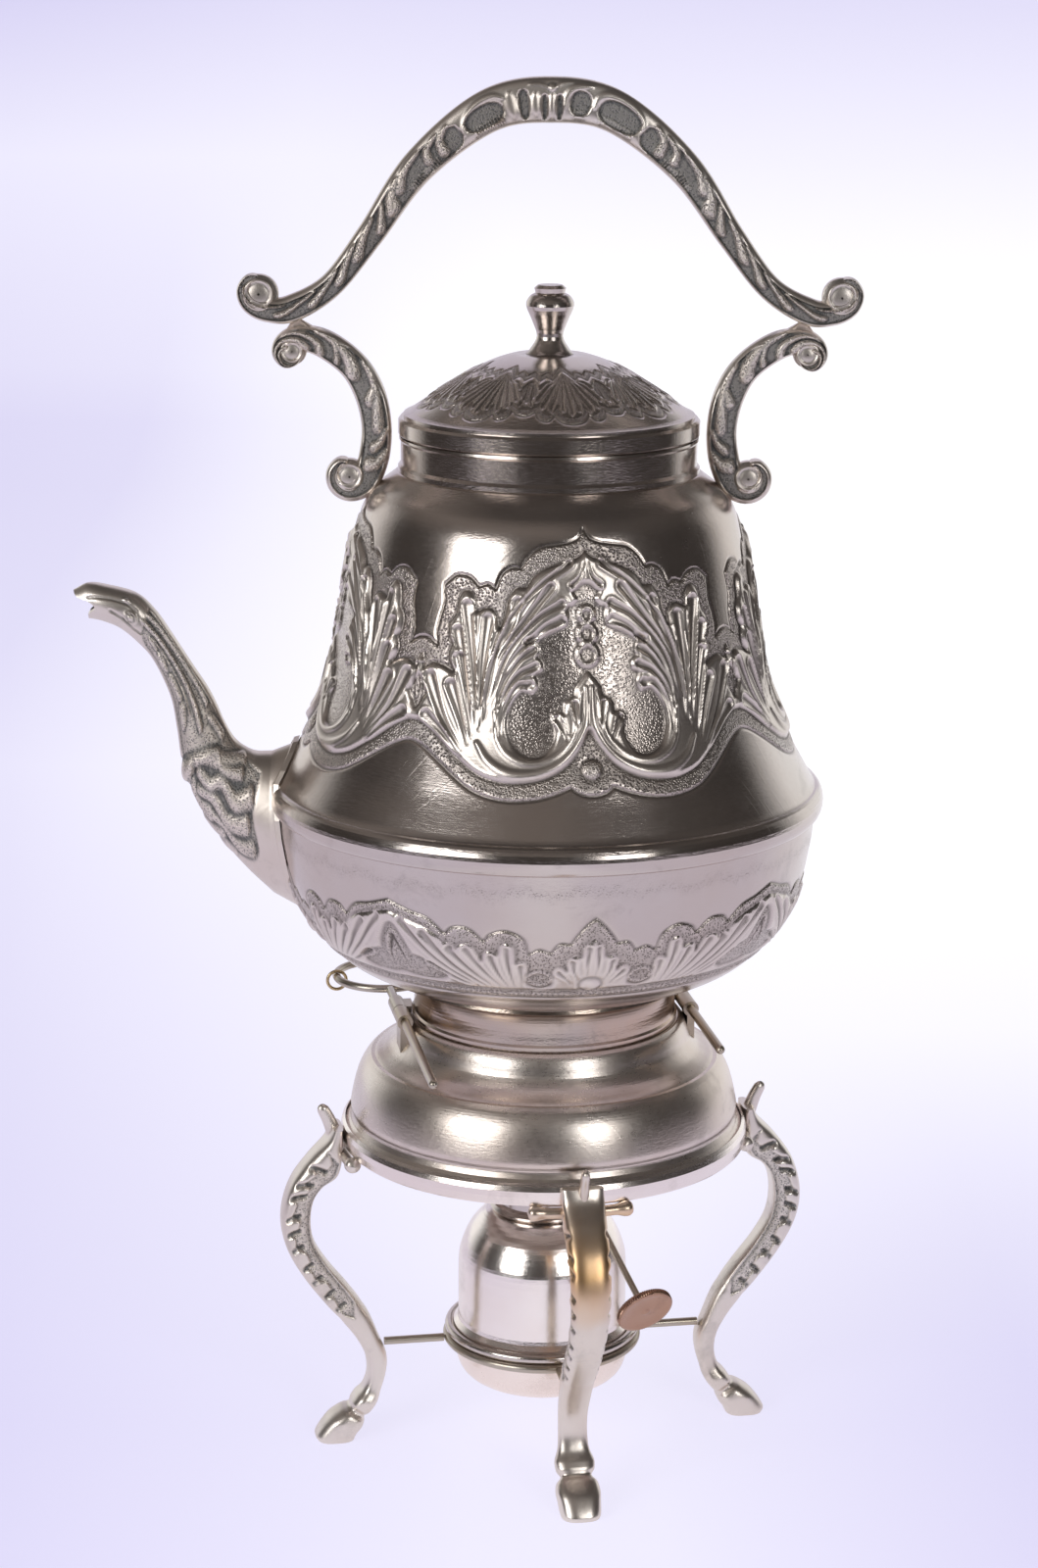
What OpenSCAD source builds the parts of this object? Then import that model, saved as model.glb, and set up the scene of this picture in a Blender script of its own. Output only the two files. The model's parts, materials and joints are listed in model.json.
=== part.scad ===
// Spirit kettle on its stand, with hinged lid, two locking pins and a wick burner.
// Millimetres. +Z is up, the origin is on the stand's axis at table level, the spout points to -X.

/* [General] */
// Turn of the stand, the pins and the knuckles from the plane of spout and handle
turn = 10; // [0:1:20]
// Thickness of the spun sheet
wall = 1; // [0.8:0.1:1.3]
// Gap between pieces that move beside each other
play = 0.3; // [0.2:0.05:0.4]
// Running clearance of a pin or shaft in its bore, on the radius
run = 0.05; // [0.03:0.01:0.09]

/* [Legs] */
// Height of the stand's lower edge, which the legs reach to
leg_h = 85; // [75:1:95]
// How far the toes stand out beyond the rim
toe_out = 8; // [5:0.2:12]
// Half width of a leg at the knee
leg_w = 5.4; // [4.6:0.1:6.2]

/* [Stand] */
// Height of the stand's spun top above its lower edge
stand_h = 35; // [32:0.5:40]
// Outer radius of the seat under the kettle's foot
seat_r = 36.5; // [36:0.1:37]
// Radius of the hole that lets the heat through
heat_r = 31; // [27:0.5:33]
// Radius of the step between shoulder and dome
step_r = 45.5; // [44.5:0.1:46.5]
// Depth of the step below the seat
step_drop = 10.8; // [9.6:0.1:12]
// Outer radius of the rim band
rim_r = 55; // [54:0.2:57]
// Height of the rim band
rim_h = 6; // [5:0.2:8]

/* [Burner ring] */
// Height of the ring that holds the burner
ring_z = 27.3; // [24:0.5:30]
// Mean radius of the ring
ring_r = 26; // [25.5:0.1:27]
// Radius of the ring's wire
ring_wire_r = 1.2; // [1:0.1:1.5]
// Radius of the rods from ring to legs
spoke_r = 1.1; // [0.8:0.1:1.4]

/* [Kettle] */
// Outer radius of the foot where it stands on the seat
foot_r = 35.6; // [34.8:0.1:35.9]
// Height of the foot
foot_h = 12.6; // [11:0.2:15]
// Radius of the moulding at the top of the foot
foot_top_r = 39.1; // [38.5:0.1:41]
// Height of the bowl, from foot to seam
bowl_h = 48.6; // [44:0.5:54]
// Radius of the kettle at the seam
belly_r = 71; // [68:0.5:74]
// Height of the upper body, from seam to neck
body_h = 86.1; // [80:0.5:94]
// Radius of the upper body at the shoulder
shoulder_r = 50.3; // [48.8:0.1:51]
// Half height of the bead that covers the seam
bead_h = 3.9; // [3:0.1:5]
// How far the bead stands out
bead_out = 2.3; // [1.5:0.1:3]
// Outer radius of the neck
neck_r = 38.4; // [37.6:0.1:38.8]
// Height of the neck
neck_h = 8.9; // [7.5:0.1:10]

/* [Chasing] */
// Height of the leaves chased on the body
leaf_rise = 0.9; // [0.5:0.1:1.2]
// Height of the leaf band on the lid
lid_leaf_rise = 0.6; // [0.4:0.1:0.9]

/* [Lid] */
// Height of the band round the lid
lid_band_h = 4.6; // [3.8:0.1:6]
// Height of the lid's dome above its band
dome_h = 16.2; // [14:0.2:19]
// Depth of the rim that drops into the neck
lid_lip = 3.4; // [2.4:0.1:4]
// Radius of the finial's bulb
finial_r = 6.2; // [5.4:0.1:7]
// Height of the finial
finial_h = 17.5; // [15:0.5:20]
// Radius of the finial's stud
stud_r = 1.5; // [1.2:0.1:1.8]

/* [Lid hinge] */
// Radius of the hinge pin
hinge_pin_r = 0.9; // [0.7:0.05:1.1]
// Outer radius of the hinge knuckles
hinge_knuckle_r = 1.9; // [1.7:0.05:2.1]
// Length of the whole hinge
hinge_len = 18; // [15:0.5:22]

/* [Spout] */
// How far the mouth stands out from the seam
spout_reach = 53.4; // [48:0.5:60]
// Height of the mouth's upper lip above the seam
spout_rise = 55.8; // [50:0.5:62]
// Half height of the spout's root
root_h = 23.4; // [20:0.2:25]
// Half width of the spout's root
root_w = 12.4; // [11:0.2:14]
// Thickness of the cast spout
spout_wall = 1.2; // [1:0.05:1.3]

/* [Handle] */
// Distance between the centres of the two end scrolls
handle_span = 149.8; // [146:0.5:154]
// Height of the crown's middle line above the end scrolls
handle_rise = 49.5; // [44:0.5:56]
// Radius of the end scrolls
scroll_r = 5.6; // [4.8:0.1:6.2]
// Half depth of the handle, front to back
handle_d = 3.3; // [2.8:0.1:4]
// Height of the end scrolls above the neck's lower edge
scroll_z = 44.6; // [43:0.1:46]
// Depth of the sunk faces of handle and brackets
sunk = 0.7; // [0.4:0.1:1]
// Width of the raised edges beside them
sunk_edge = 1.1; // [0.8:0.1:1.4]

/* [Pins] */
// Radius of the locking pins
pin_r = 1.2; // [1:0.05:1.4]
// Outer radius of the knuckles that take the pins
knuckle_r = 2.1; // [1.9:0.05:2.3]
// Length of one knuckle
knuckle_len = 9; // [7:0.5:11]
// Distance of a pin's middle line from the stand's axis
pin_off = 38.9; // [38.8:0.1:40]
// How far the left pin reaches forward of its knuckles
left_pin_front = 50; // [40:1:56]
// How far the right pin reaches forward of its knuckles
right_pin_front = 34.5; // [28:0.5:44]
// How far the pins reach behind their knuckles
pin_back = 12; // [10:0.5:16]
// Mean radius of the pins' bows
bow_r = 13; // [11:0.5:13.5]
// Mean radius of the link on the left bow
link_r = 2.6; // [2.3:0.1:3]

/* [Burner] */
// Radius of the burner's body
burner_r = 23; // [22:0.1:23.4]
// Height of the burner's shell above its bead
burner_h = 34.5; // [30:0.5:38]
// Depth of the burner below its bead
burner_drop = 17.8; // [15:0.2:20]
// Radius of the bead on which the burner hangs in its ring
burner_bead_r = 1.3; // [1.1:0.1:1.5]
// Radius of the collar round the wick's gear
collar_r = 12.5; // [12:0.1:13.4]
// Height of the collar
collar_h = 15.7; // [14:0.1:18]
// Radius of the wick
wick_r = 4.4; // [4:0.1:4.6]

/* [Wick knob] */
// Direction of the knob's shaft, seen from above
knob_az = -63.8; // [-70:0.2:-55]
// Slope of the shaft below level
knob_drop = 30; // [28:0.5:34]
// Distance of the knob from the burner's axis, along the shaft's direction
knob_reach = 44.4; // [40:0.2:47]
// Radius of the knob
knob_r = 7.8; // [6.5:0.1:8.5]
// Thickness of the knob
knob_t = 2; // [1.6:0.1:2.6]
// Radius of the knob's shaft
shaft_r = 0.9; // [0.7:0.05:1.1]
// Radius of the spiked wheel that feeds the wick
wheel_r = 3; // [2.6:0.1:3.3]

/* [Hidden] */
$fn = 96;
silver = [0.66, 0.63, 0.6];
dark_silver = [0.5, 0.48, 0.45];
nickel = [0.58, 0.55, 0.5];
copper = [0.72, 0.5, 0.4];
brass = [0.75, 0.62, 0.36];

// Heights that follow from the sizes above
seat_z = leg_h + stand_h;
foot_gap = 0.2;
kettle_z = seat_z + foot_gap;
seam_h = foot_h + bowl_h;
neck_h0 = seam_h + body_h;
lid_h0 = neck_h0 + neck_h + play;
dome_h0 = lid_h0 + lid_band_h;
pin_z = seat_z + 1.1;
bead_in = 0.6;
burner_z = ring_z + sqrt(pow(ring_wire_r + burner_bead_r + 0.15, 2) - pow(bead_in, 2));

// Curves: a smooth line through points, and the same line moved sideways
function blend(a, b, c, d, t) =
    0.5 * (2 * b + (c - a) * t + (2 * a - 5 * b + 4 * c - d) * t * t + (3 * b - a - 3 * c + d) * t * t * t);
function before(p) = 2 * p[0] - p[1];
function after(p) = 2 * p[len(p) - 1] - p[len(p) - 2];
function smooth(p, n) = [
    for (i = [0 : len(p) - 2]) for (k = [0 : n - 1])
        blend(i == 0 ? before(p) : p[i - 1], p[i], p[i + 1], i == len(p) - 2 ? after(p) : p[i + 2], k / n),
    p[len(p) - 1]
];
function along(p, i) = let (d = p[min(i + 1, len(p) - 1)] - p[max(i - 1, 0)]) [d.x, d.y] / norm([d.x, d.y]);
function inward(p, i) = let (d = along(p, i)) [-d.y, d.x];
function moved(p, w) = [
    for (i = [0 : len(p) - 1]) let (q = [p[i].x, p[i].y] + w * inward(p, i)) [max(q.x, 0), q.y]
];
function back(p) = [for (i = [len(p) - 1 : -1 : 0]) p[i]];
// A strap's outline, from middle points that carry its half width as a third number
function strap(p) = concat(
    [for (i = [0 : len(p) - 1]) [p[i].x, p[i].y] + p[i].z * inward(p, i)],
    back([for (i = [0 : len(p) - 1]) [p[i].x, p[i].y] - p[i].z * inward(p, i)])
);

// A spun shell of one thickness under an outer line that runs upward
module spun(line, thick = wall) {
    rotate_extrude() polygon(concat(line, back(moved(line, thick))));
}

// A closed skin over rings of equally many points, with flat ends or closed on itself
module skin(rings, closed = false) {
    n = len(rings[0]);
    m = len(rings);
    last = closed ? m - 1 : m - 2;
    sides = [
        for (i = [0 : last]) for (k = [0 : n - 1])
            let (a = i * n + k, b = i * n + (k + 1) % n, j = ((i + 1) % m) * n)
            each [[a, b, j + (k + 1) % n], [a, j + (k + 1) % n, j + k]]
    ];
    ends = closed ? [] : [[for (k = [n - 1 : -1 : 0]) k], [for (k = [0 : n - 1]) (m - 1) * n + k]];
    polyhedron([for (r = rings) each r], concat(sides, ends), convexity = 8);
}

module turned() {
    rotate(turn) children();
}

module on_kettle() {
    translate([0, 0, kettle_z]) children();
}

module on_burner() {
    translate([0, 0, burner_z]) children();
}

// Stand top: seat, shoulder, step and dome, open below and round the heat hole
stand_line = concat(
    [[rim_r - 1.4, leg_h + 0.8], [rim_r - 1.4, leg_h + rim_h - 0.9]],
    smooth([
        [rim_r - 2.6, leg_h + rim_h + 0.5], [rim_r - 3.2, leg_h + rim_h + 2.2],
        [rim_r - 2.8, leg_h + rim_h + 3.8], [rim_r - 2.9, leg_h + rim_h + 5.4],
        [rim_r - 3.9, leg_h + rim_h + 10], [step_r + 4.4, seat_z - step_drop - 4.6],
        [step_r + 2.8, seat_z - step_drop - 1.8], [step_r + 1.2, seat_z - step_drop - 0.2]
    ], 4),
    smooth([
        [step_r + 0.2, seat_z - step_drop - 0.1], [step_r - 0.6, seat_z - step_drop + 0.4],
        [step_r - 2.4, seat_z - step_drop + 1.3], [seat_r + 4.7, seat_z - 8.2],
        [seat_r + 2.8, seat_z - 5.8], [seat_r + 1.9, seat_z - 3], [seat_r + 1, seat_z - 1], [seat_r, seat_z]
    ], 4)
);
module stand_top() {
    color(silver) {
        spun(stand_line);
        translate([0, 0, seat_z - wall]) difference() {
            cylinder(r = seat_r - wall / 2, h = wall);
            translate([0, 0, -1]) cylinder(r = heat_r, h = wall + 2);
        }
    }
}

module rim_band() {
    color(silver) rotate_extrude() polygon([
        [rim_r - 1.2, leg_h + 0.2], [rim_r - 0.7, leg_h], [rim_r - 0.3, leg_h + 0.5], [rim_r, leg_h + 2.4],
        [rim_r, leg_h + rim_h - 2], [rim_r - 0.4, leg_h + rim_h - 0.7], [rim_r - 1.2, leg_h + rim_h]
    ]);
}

// Legs: stations of outer edge, inner edge and half width, for a leg 85 mm high with toes 63 mm out
leg_stations = [
    [58, 90.6, 55.1, 90.6, 1], [59.8, 87.2, 55.1, 84, 1.04], [64.2, 82.6, 56.5, 77.2, 1.05],
    [68.8, 76.4, 60.6, 74.2, 1.03], [71.3, 69.8, 63.2, 70.2, 1], [71.9, 63, 64, 64, 0.97],
    [70.2, 55.8, 62.9, 57.9, 0.93], [66, 48, 59.2, 51.5, 0.89], [60.5, 40.4, 53.5, 44.2, 0.85],
    [55.2, 34, 48.6, 36.9, 0.8], [51.6, 29, 45.2, 28.8, 0.76], [49.2, 23.8, 43.4, 24, 0.72],
    [48.8, 18.4, 43.6, 18.9, 0.71], [50.6, 13.6, 45.6, 12.6, 0.78], [54, 10.2, 48.8, 6.6, 0.96],
    [60, 5.6, 51, 2.8, 1.03], [63, 1.6, 52, 1, 1], [62.6, 0, 52.4, 0, 0.95]
];
leg_drawn_h = 85;
leg_drawn_toe = 63;
leg_drawn_rim = 55;
// The leg keeps its seat on the rim and spreads towards the toes
function leg_out(r, z) =
    let (low = 1 - min(z, leg_drawn_h) / leg_drawn_h, spread = rim_r + toe_out - leg_drawn_toe)
    r + (rim_r - leg_drawn_rim) * (1 - low) + spread * low;
function leg_up(z) = z > leg_drawn_h ? leg_h + z - leg_drawn_h : z * leg_h / leg_drawn_h;
leg_line = [
    for (s = smooth(leg_stations, 2))
        [leg_out(s[0], s[1]), leg_up(s[1]), leg_out(s[2], s[3]), leg_up(s[3]), s[4] * leg_w]
];
function corner(a) = sign(a) * pow(abs(a), 0.6);
function leg_ring(s) = [
    for (k = [0 : 11]) let (t = 15 + 30 * k, u = corner(cos(t)), v = corner(sin(t)))
        [(s[0] + s[2]) / 2 + u * (s[0] - s[2]) / 2, v * s[4], (s[1] + s[3]) / 2 + u * (s[1] - s[3]) / 2]
];
module leg(angle) {
    color(dark_silver) rotate(turn + angle) {
        skin([for (s = leg_line) leg_ring(s)]);
        leg_arms();
        leg_leaf();
    }
}

// Two arms that run along the rim's lower edge, each with a lobe at its end
arm_r = 1.5;
lobe_r = 2.4;
arm_angle = 15;
module leg_arms() {
    rotate(-arm_angle) rotate_extrude(angle = 2 * arm_angle)
        translate([rim_r, leg_h - arm_r - 0.2]) circle(r = arm_r, $fn = 24);
    for (s = [-1, 1]) rotate(s * arm_angle)
        translate([rim_r + 0.4, 0, leg_h - lobe_r - 0.2]) sphere(r = lobe_r, $fn = 32);
}

// An upright leaf over the rim
leaf_h = 7.6;
module leg_leaf() {
    translate([rim_r + 0.2, 0, leg_h + 3.4]) rotate([0, 12, 0]) rotate([90, 0, 0])
        translate([0, 0, -1.3]) linear_extrude(2.6)
            polygon([[0, -1], [4, -2.4], [3.4, 3], [5.2, leaf_h + 0.6], [3.6, leaf_h + 1.4], [1, 4.4]]);
}

module burner_ring() {
    color(nickel) rotate_extrude() translate([ring_r, ring_z]) circle(r = ring_wire_r, $fn = 32);
}

// Each rod runs from the ring to the inner edge of its leg
leg_inner = [for (s = back(leg_line)) [s[3], s[2]]];
spoke_end = min(lookup(ring_z - spoke_r, leg_inner), lookup(ring_z + spoke_r, leg_inner)) - 0.2;
module spoke(angle) {
    start = ring_r + ring_wire_r + 0.15;
    color(nickel) rotate(turn + angle) translate([start, 0, ring_z]) rotate([0, 90, 0])
        cylinder(r = spoke_r, h = spoke_end - start, $fn = 32);
}

// Knuckles: those of the stand are in front, those of the kettle behind them
knuckle_gap = play;
stand_knuckle_y = -knuckle_len + 1.5;
kettle_knuckle_y = stand_knuckle_y + knuckle_len + knuckle_gap;
module knuckle(side, y0) {
    translate([side * pin_off, y0, pin_z]) rotate([-90, 0, 0]) difference() {
        cylinder(r = knuckle_r, h = knuckle_len, $fn = 48);
        translate([0, 0, -1]) cylinder(r = pin_r + run, h = knuckle_len + 2, $fn = 48);
    }
}
// The tab reaches down to the stand's shoulder
module stand_knuckle(side) {
    color(nickel) turned() {
        knuckle(side, stand_knuckle_y);
        difference() {
            translate([side * (pin_off + 0.2) - 1, stand_knuckle_y + 1, seat_z - 8])
                cube([2, knuckle_len - 2, pin_z - seat_z + 8]);
            translate([side * pin_off, -20, pin_z]) rotate([-90, 0, 0])
                cylinder(r = knuckle_r - 0.2, h = 40, $fn = 48);
            rotate_extrude() polygon(concat([[0, leg_h]], stand_line, [[0, seat_z]]));
        }
    }
}
// The tab reaches in to the kettle's foot
module kettle_knuckle(side) {
    color(nickel) turned() {
        knuckle(side, kettle_knuckle_y);
        difference() {
            translate([side * (foot_r + pin_off) / 2 - (pin_off - foot_r) / 2 - 0.6,
                kettle_knuckle_y + 1, kettle_z + 0.3])
                cube([pin_off - foot_r + 1.2, knuckle_len - 2, 1.8]);
            translate([side * pin_off, -20, pin_z]) rotate([-90, 0, 0])
                cylinder(r = knuckle_r - 0.2, h = 40, $fn = 48);
            translate([0, 0, kettle_z - 1]) cylinder(r = foot_r + 0.2, h = foot_h);
        }
    }
}

// Kettle: outer lines in heights above the foot's lower edge
bowl_floor = 0.9;
bowl_line = concat(
    [[0, foot_h - 1.6], [foot_top_r - 3, foot_h - bowl_floor]],
    smooth([
        [foot_top_r - 0.6, foot_h], [foot_top_r + 8.6, foot_h + 2.9], [foot_top_r + 18.4, foot_h + 9.1],
        [belly_r - 4.4, foot_h + 22.4], [belly_r - 0.9, foot_h + 36.4], [belly_r, seam_h - bead_h]
    ], 5),
    [[belly_r, seam_h]]
);
body_line = concat(
    [[belly_r, seam_h], [belly_r, seam_h + bead_h]],
    smooth([
        [belly_r - 0.5, seam_h + bead_h + 0.4], [belly_r - 6.6, seam_h + 15.6],
        [belly_r - 13, seam_h + 30.8], [shoulder_r + 3.4, neck_h0 - 33.4],
        [shoulder_r, neck_h0 - 15.9], [shoulder_r - 3.7, neck_h0 - 6.4], [neck_r + 0.8, neck_h0]
    ], 5)
);
kettle_line = concat([for (p = bowl_line) if (p.y < seam_h) [p.y, p.x]], [for (p = body_line) [p.y, p.x]]);
module upper_body() {
    color(silver) on_kettle() {
        spun(body_line);
        chased_hearts();
    }
}

// Four hearts of leaves: angle from the heart's middle, height above the seam on a body 86.1 mm high
chase_drawn_h = 86.1;
heart_edge = [
    [0, 74], [6, 71], [13.5, 68.4], [16.5, 65], [20.6, 63.4], [22.2, 57.6], [23.2, 55], [25.2, 59.4], [29.8, 58.6],
    [31.4, 63], [35, 62.2], [36.2, 57], [37.5, 52.6], [36.4, 45], [41, 45.2], [44.4, 46.6], [44.4, 30.2],
    [38, 27.4], [31, 22], [24, 18.2], [16, 17.4], [9.5, 19.2], [4.4, 23], [0, 29.6]
];
heart_ground = [
    [0, 65.4], [3, 63.8], [4.6, 59.8], [8, 54], [15.6, 51.6], [12.4, 48], [12.8, 43.6], [14, 38.2], [18.2, 37.8],
    [19.6, 32.2], [17.8, 26.2], [12, 24.2], [9, 29.1], [8.4, 34.2], [4, 38.6], [0, 45.2]
];
function chase_point(m) =
    let (z = seam_h + m.y * body_h / chase_drawn_h) [(lookup(z, kettle_line) + leaf_rise) * sin(m.x), z];
function both_halves(marks) = concat(
    [for (m = marks) chase_point(m)], [for (m = back(marks)) if (m.x > 0) chase_point([-m.x, m.y])]
);
module chased_hearts() {
    band = [for (p = body_line) if (p.y > seam_h + bead_h + 3 && p.y < neck_h0 - 4) p];
    spout_room = root_w + flange_w + 0.6;
    intersection() {
        difference() {
            rotate_extrude() polygon(concat(moved(band, -leaf_rise), back(moved(band, wall / 2))));
            translate([0, 0, root_mid]) scale([1, 1, (root_h + flange_w + 0.6) / spout_room])
                rotate([0, -90, 0]) difference() {
                    cylinder(r = spout_room, h = belly_r + 10);
                    cylinder(r = spout_room + 1, h = shoulder_r - 6);
                }
        }
        for (k = [0 : 3]) rotate(turn + 90 * k - 90) rotate([90, 0, 90]) linear_extrude(belly_r + 10) difference() {
            polygon(both_halves(heart_edge));
            polygon(both_halves(heart_ground));
        }
    }
}

module bowl() {
    color(silver) on_kettle() difference() {
        spun(bowl_line);
        strainer();
    }
}

// The holes that let the water into the spout
strainer_r = 1.6;
strainer_pitch = 4.6;
module strainer() {
    for (row = [0 : 3]) for (i = [-1 : 1])
        translate([-belly_r, i * strainer_pitch, seam_h - bead_h - 6 - row * strainer_pitch])
            rotate([0, 90, 0]) translate([0, 0, -5]) cylinder(r = strainer_r, h = 18, $fn = 24);
}

// The bead stops on both sides of the spout's root
flange_w = 1.7;
flange_t = 1.6;
module seam_bead() {
    color(silver) on_kettle() difference() {
        rotate_extrude() polygon(concat(
            [[belly_r, seam_h - bead_h]],
            [for (t = [-75 : 15 : 75]) [belly_r + bead_out * cos(t), seam_h + bead_h * 0.97 * sin(t)]],
            [[belly_r, seam_h + bead_h]]
        ));
        translate([-belly_r - 10, -root_w - flange_w - 0.4, seam_h - 10])
            cube([20, 2 * (root_w + flange_w + 0.4), 20]);
    }
}

module foot_ring() {
    color(silver) on_kettle() spun(concat(
        [[foot_r, 0], [foot_r + 0.1, 1.2]],
        smooth([
            [foot_r - 0.4, 1.8], [foot_r - 0.5, 6], [foot_r + 0.6, 9.4], [foot_top_r - 1.6, foot_h - 1.8]
        ], 4),
        [[foot_top_r, foot_h - 1.2], [foot_top_r - 0.2, foot_h - 0.3]]
    ));
}

module neck_ring() {
    color(silver) on_kettle() rotate_extrude() polygon([
        [neck_r - wall, neck_h0], [neck_r + 0.7, neck_h0], [neck_r + 0.7, neck_h0 + 1.2],
        [neck_r, neck_h0 + 2], [neck_r, neck_h0 + neck_h - 1.2], [neck_r + 0.4, neck_h0 + neck_h - 0.6],
        [neck_r + 0.3, neck_h0 + neck_h], [neck_r - wall, neck_h0 + neck_h]
    ]);
}

// Spout: upper edge, lower edge and half width, as parts of its reach and rise
spout_stations = [
    [0.030, 0.187, 0.025, -0.507, 11.2], [0.122, 0.190, 0.160, -0.383, 9.6],
    [0.206, 0.240, 0.281, -0.245, 8.2], [0.262, 0.328, 0.399, -0.073, 7],
    [0.303, 0.423, 0.472, 0.113, 6.2], [0.346, 0.504, 0.498, 0.292, 5.4],
    [0.416, 0.606, 0.528, 0.454, 4.8], [0.506, 0.742, 0.605, 0.620, 4.5],
    [0.592, 0.864, 0.678, 0.706, 4.7], [0.685, 0.947, 0.764, 0.776, 4.9],
    [0.822, 0.986, 0.841, 0.808, 4.9], [0.918, 1.000, 0.895, 0.821, 4.5], [1.000, 0.962, 0.936, 0.824, 3.9]
];
function spout_point(u, v) = [-belly_r - u * spout_reach, seam_h + v * spout_rise];
spout_line = [
    for (s = smooth(spout_stations, 2)) concat(spout_point(s[0], s[1]), spout_point(s[2], s[3]), [s[4]])
];
// Angles round a ring; one falls on the body's edge above the seam
function ring_turns(grow) =
    let (edge = asin((seam_h + bead_h + 0.2 - root_mid) / (root_h + grow)))
    let (side = [-75, -60, -45, -30, -15, 0, 12, edge - 10, edge, edge + 10, 62, 76])
    concat([-90], side, [90], [for (t = back(side)) 180 - t]);
root_mid = seam_h - 10.4;
function spout_ring(s, thin) =
    let (a = [s[0], s[1]], b = [s[2], s[3]], mid = (a + b) / 2, half = norm(a - b) / 2 - thin)
    let (dir = (a - b) / norm(a - b))
    [for (t = ring_turns(0))
        [mid.x + half * sin(t) * dir.x, (s[4] - thin) * cos(t), mid.y + half * sin(t) * dir.y]];
// A ring that lies on the kettle's outside, a little off it
root_gap = 0.35;
function on_body(y, z, off) = [-sqrt(pow(lookup(z, kettle_line) + off, 2) - y * y), y, z];
function root_ring(grow, off) = [
    for (t = ring_turns(grow))
        on_body((root_w + grow) * cos(t), root_mid + (root_h + grow) * sin(t), off)
];
module spout() {
    outer = [for (s = spout_line) spout_ring(s, 0)];
    inner = [for (s = spout_line) spout_ring(s, spout_wall)];
    color(dark_silver) on_kettle()
        skin(concat([root_ring(0, root_gap)], outer, back(inner), [root_ring(-spout_wall, root_gap)]), closed = true);
}

module spout_flange() {
    color(dark_silver) on_kettle() skin([
        root_ring(0.2, root_gap), root_ring(flange_w, root_gap), root_ring(flange_w - 0.4, flange_t),
        root_ring(0.4, flange_t)
    ], closed = true);
}

// Handle: middle line of its right half, from crown to scroll, with half widths
handle_marks = [
    [0, 1, 5.8], [0.215, 0.94, 5.4], [0.45, 0.66, 4.4], [0.614, 0.311, 3.5],
    [0.748, 0.053, 3.2], [0.88, -0.067, 3.6], [0.97, -0.075, 3.1]
];
scroll_h = neck_h0 + scroll_z;
function handle_point(m) = [m[0] * handle_span / 2, scroll_h + m[1] * handle_rise, m[2]];
handle_half = smooth([for (m = handle_marks) handle_point(m)], 4);
handle_line = concat(
    [for (p = back(handle_half)) [-p.x, p.y, p.z]],
    [for (i = [1 : len(handle_half) - 1]) handle_half[i]]
);
module upright(depth) {
    rotate([90, 0, 0]) translate([0, 0, -depth]) linear_extrude(2 * depth) children();
}
module boss(at, radius) {
    translate([at.x, handle_d, at.y]) rotate([90, 0, 0]) cylinder(r = radius, h = 2 * handle_d, $fn = 48);
}
// Both faces are sunk between raised edges
module sunk_faces(line) {
    narrow = [for (p = line) [p.x, p.y, p.z - sunk_edge]];
    for (s = [0, 1]) mirror([0, s, 0]) translate([0, handle_d - sunk, 0]) rotate([90, 0, 0]) mirror([0, 0, 1])
        linear_extrude(sunk + 1) polygon(strap(narrow));
}
module handle_arch() {
    color(dark_silver) on_kettle() {
        difference() {
            upright(handle_d) polygon(strap(handle_line));
            sunk_faces([for (p = handle_line) if (abs(p.x) < handle_span / 2 - 8) p]);
        }
        for (s = [-1, 1]) boss([s * handle_span / 2, scroll_h], scroll_r);
    }
}

// Brackets: C scrolls between the shoulder and the handle's ends
bracket_low_r = 5.7;
bracket_top_r = 4.4;
bracket_marks = [
    [shoulder_r - 1, neck_h0 - 3.4, 4.4], [shoulder_r - 5, neck_h0 + 3, 4], [shoulder_r - 5.7, neck_h0 + 11, 3.9],
    [shoulder_r - 4, neck_h0 + 19.4, 4], [handle_span / 2 - 24.4, scroll_h - 18, 3.8],
    [handle_span / 2 - 17.2, scroll_h - 12.6, 3.7], [handle_span / 2 - 10.4, scroll_h - 11.2, 3]
];
bracket_low = [shoulder_r + 1.2, neck_h0 - 1.9];
bracket_top = [handle_span / 2 - 9, scroll_h - 14];
bracket_web = [
    [handle_span / 2 - 14, scroll_h - 10], [handle_span / 2 - 5, scroll_h - 12],
    [handle_span / 2 - 5.2, scroll_h - 7.6], [handle_span / 2 - 11, scroll_h - 7.6]
];
bracket_line = smooth(bracket_marks, 4);
module bracket(side) {
    color(dark_silver) on_kettle() mirror([side < 0 ? 1 : 0, 0, 0]) difference() {
        union() {
            upright(handle_d) polygon(strap(bracket_line));
            boss(bracket_low, bracket_low_r);
            boss(bracket_top, bracket_top_r);
            upright(handle_d) polygon(bracket_web);
        }
        sunk_faces([for (i = [7 : len(bracket_line) - 5]) bracket_line[i]]);
        rotate_extrude() polygon(concat(
            [[0, seam_h + bead_h + 1]], moved([for (p = body_line) if (p.y > seam_h + bead_h + 1) p], -0.15),
            [[0, neck_h0]]
        ));
    }
}

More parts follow.
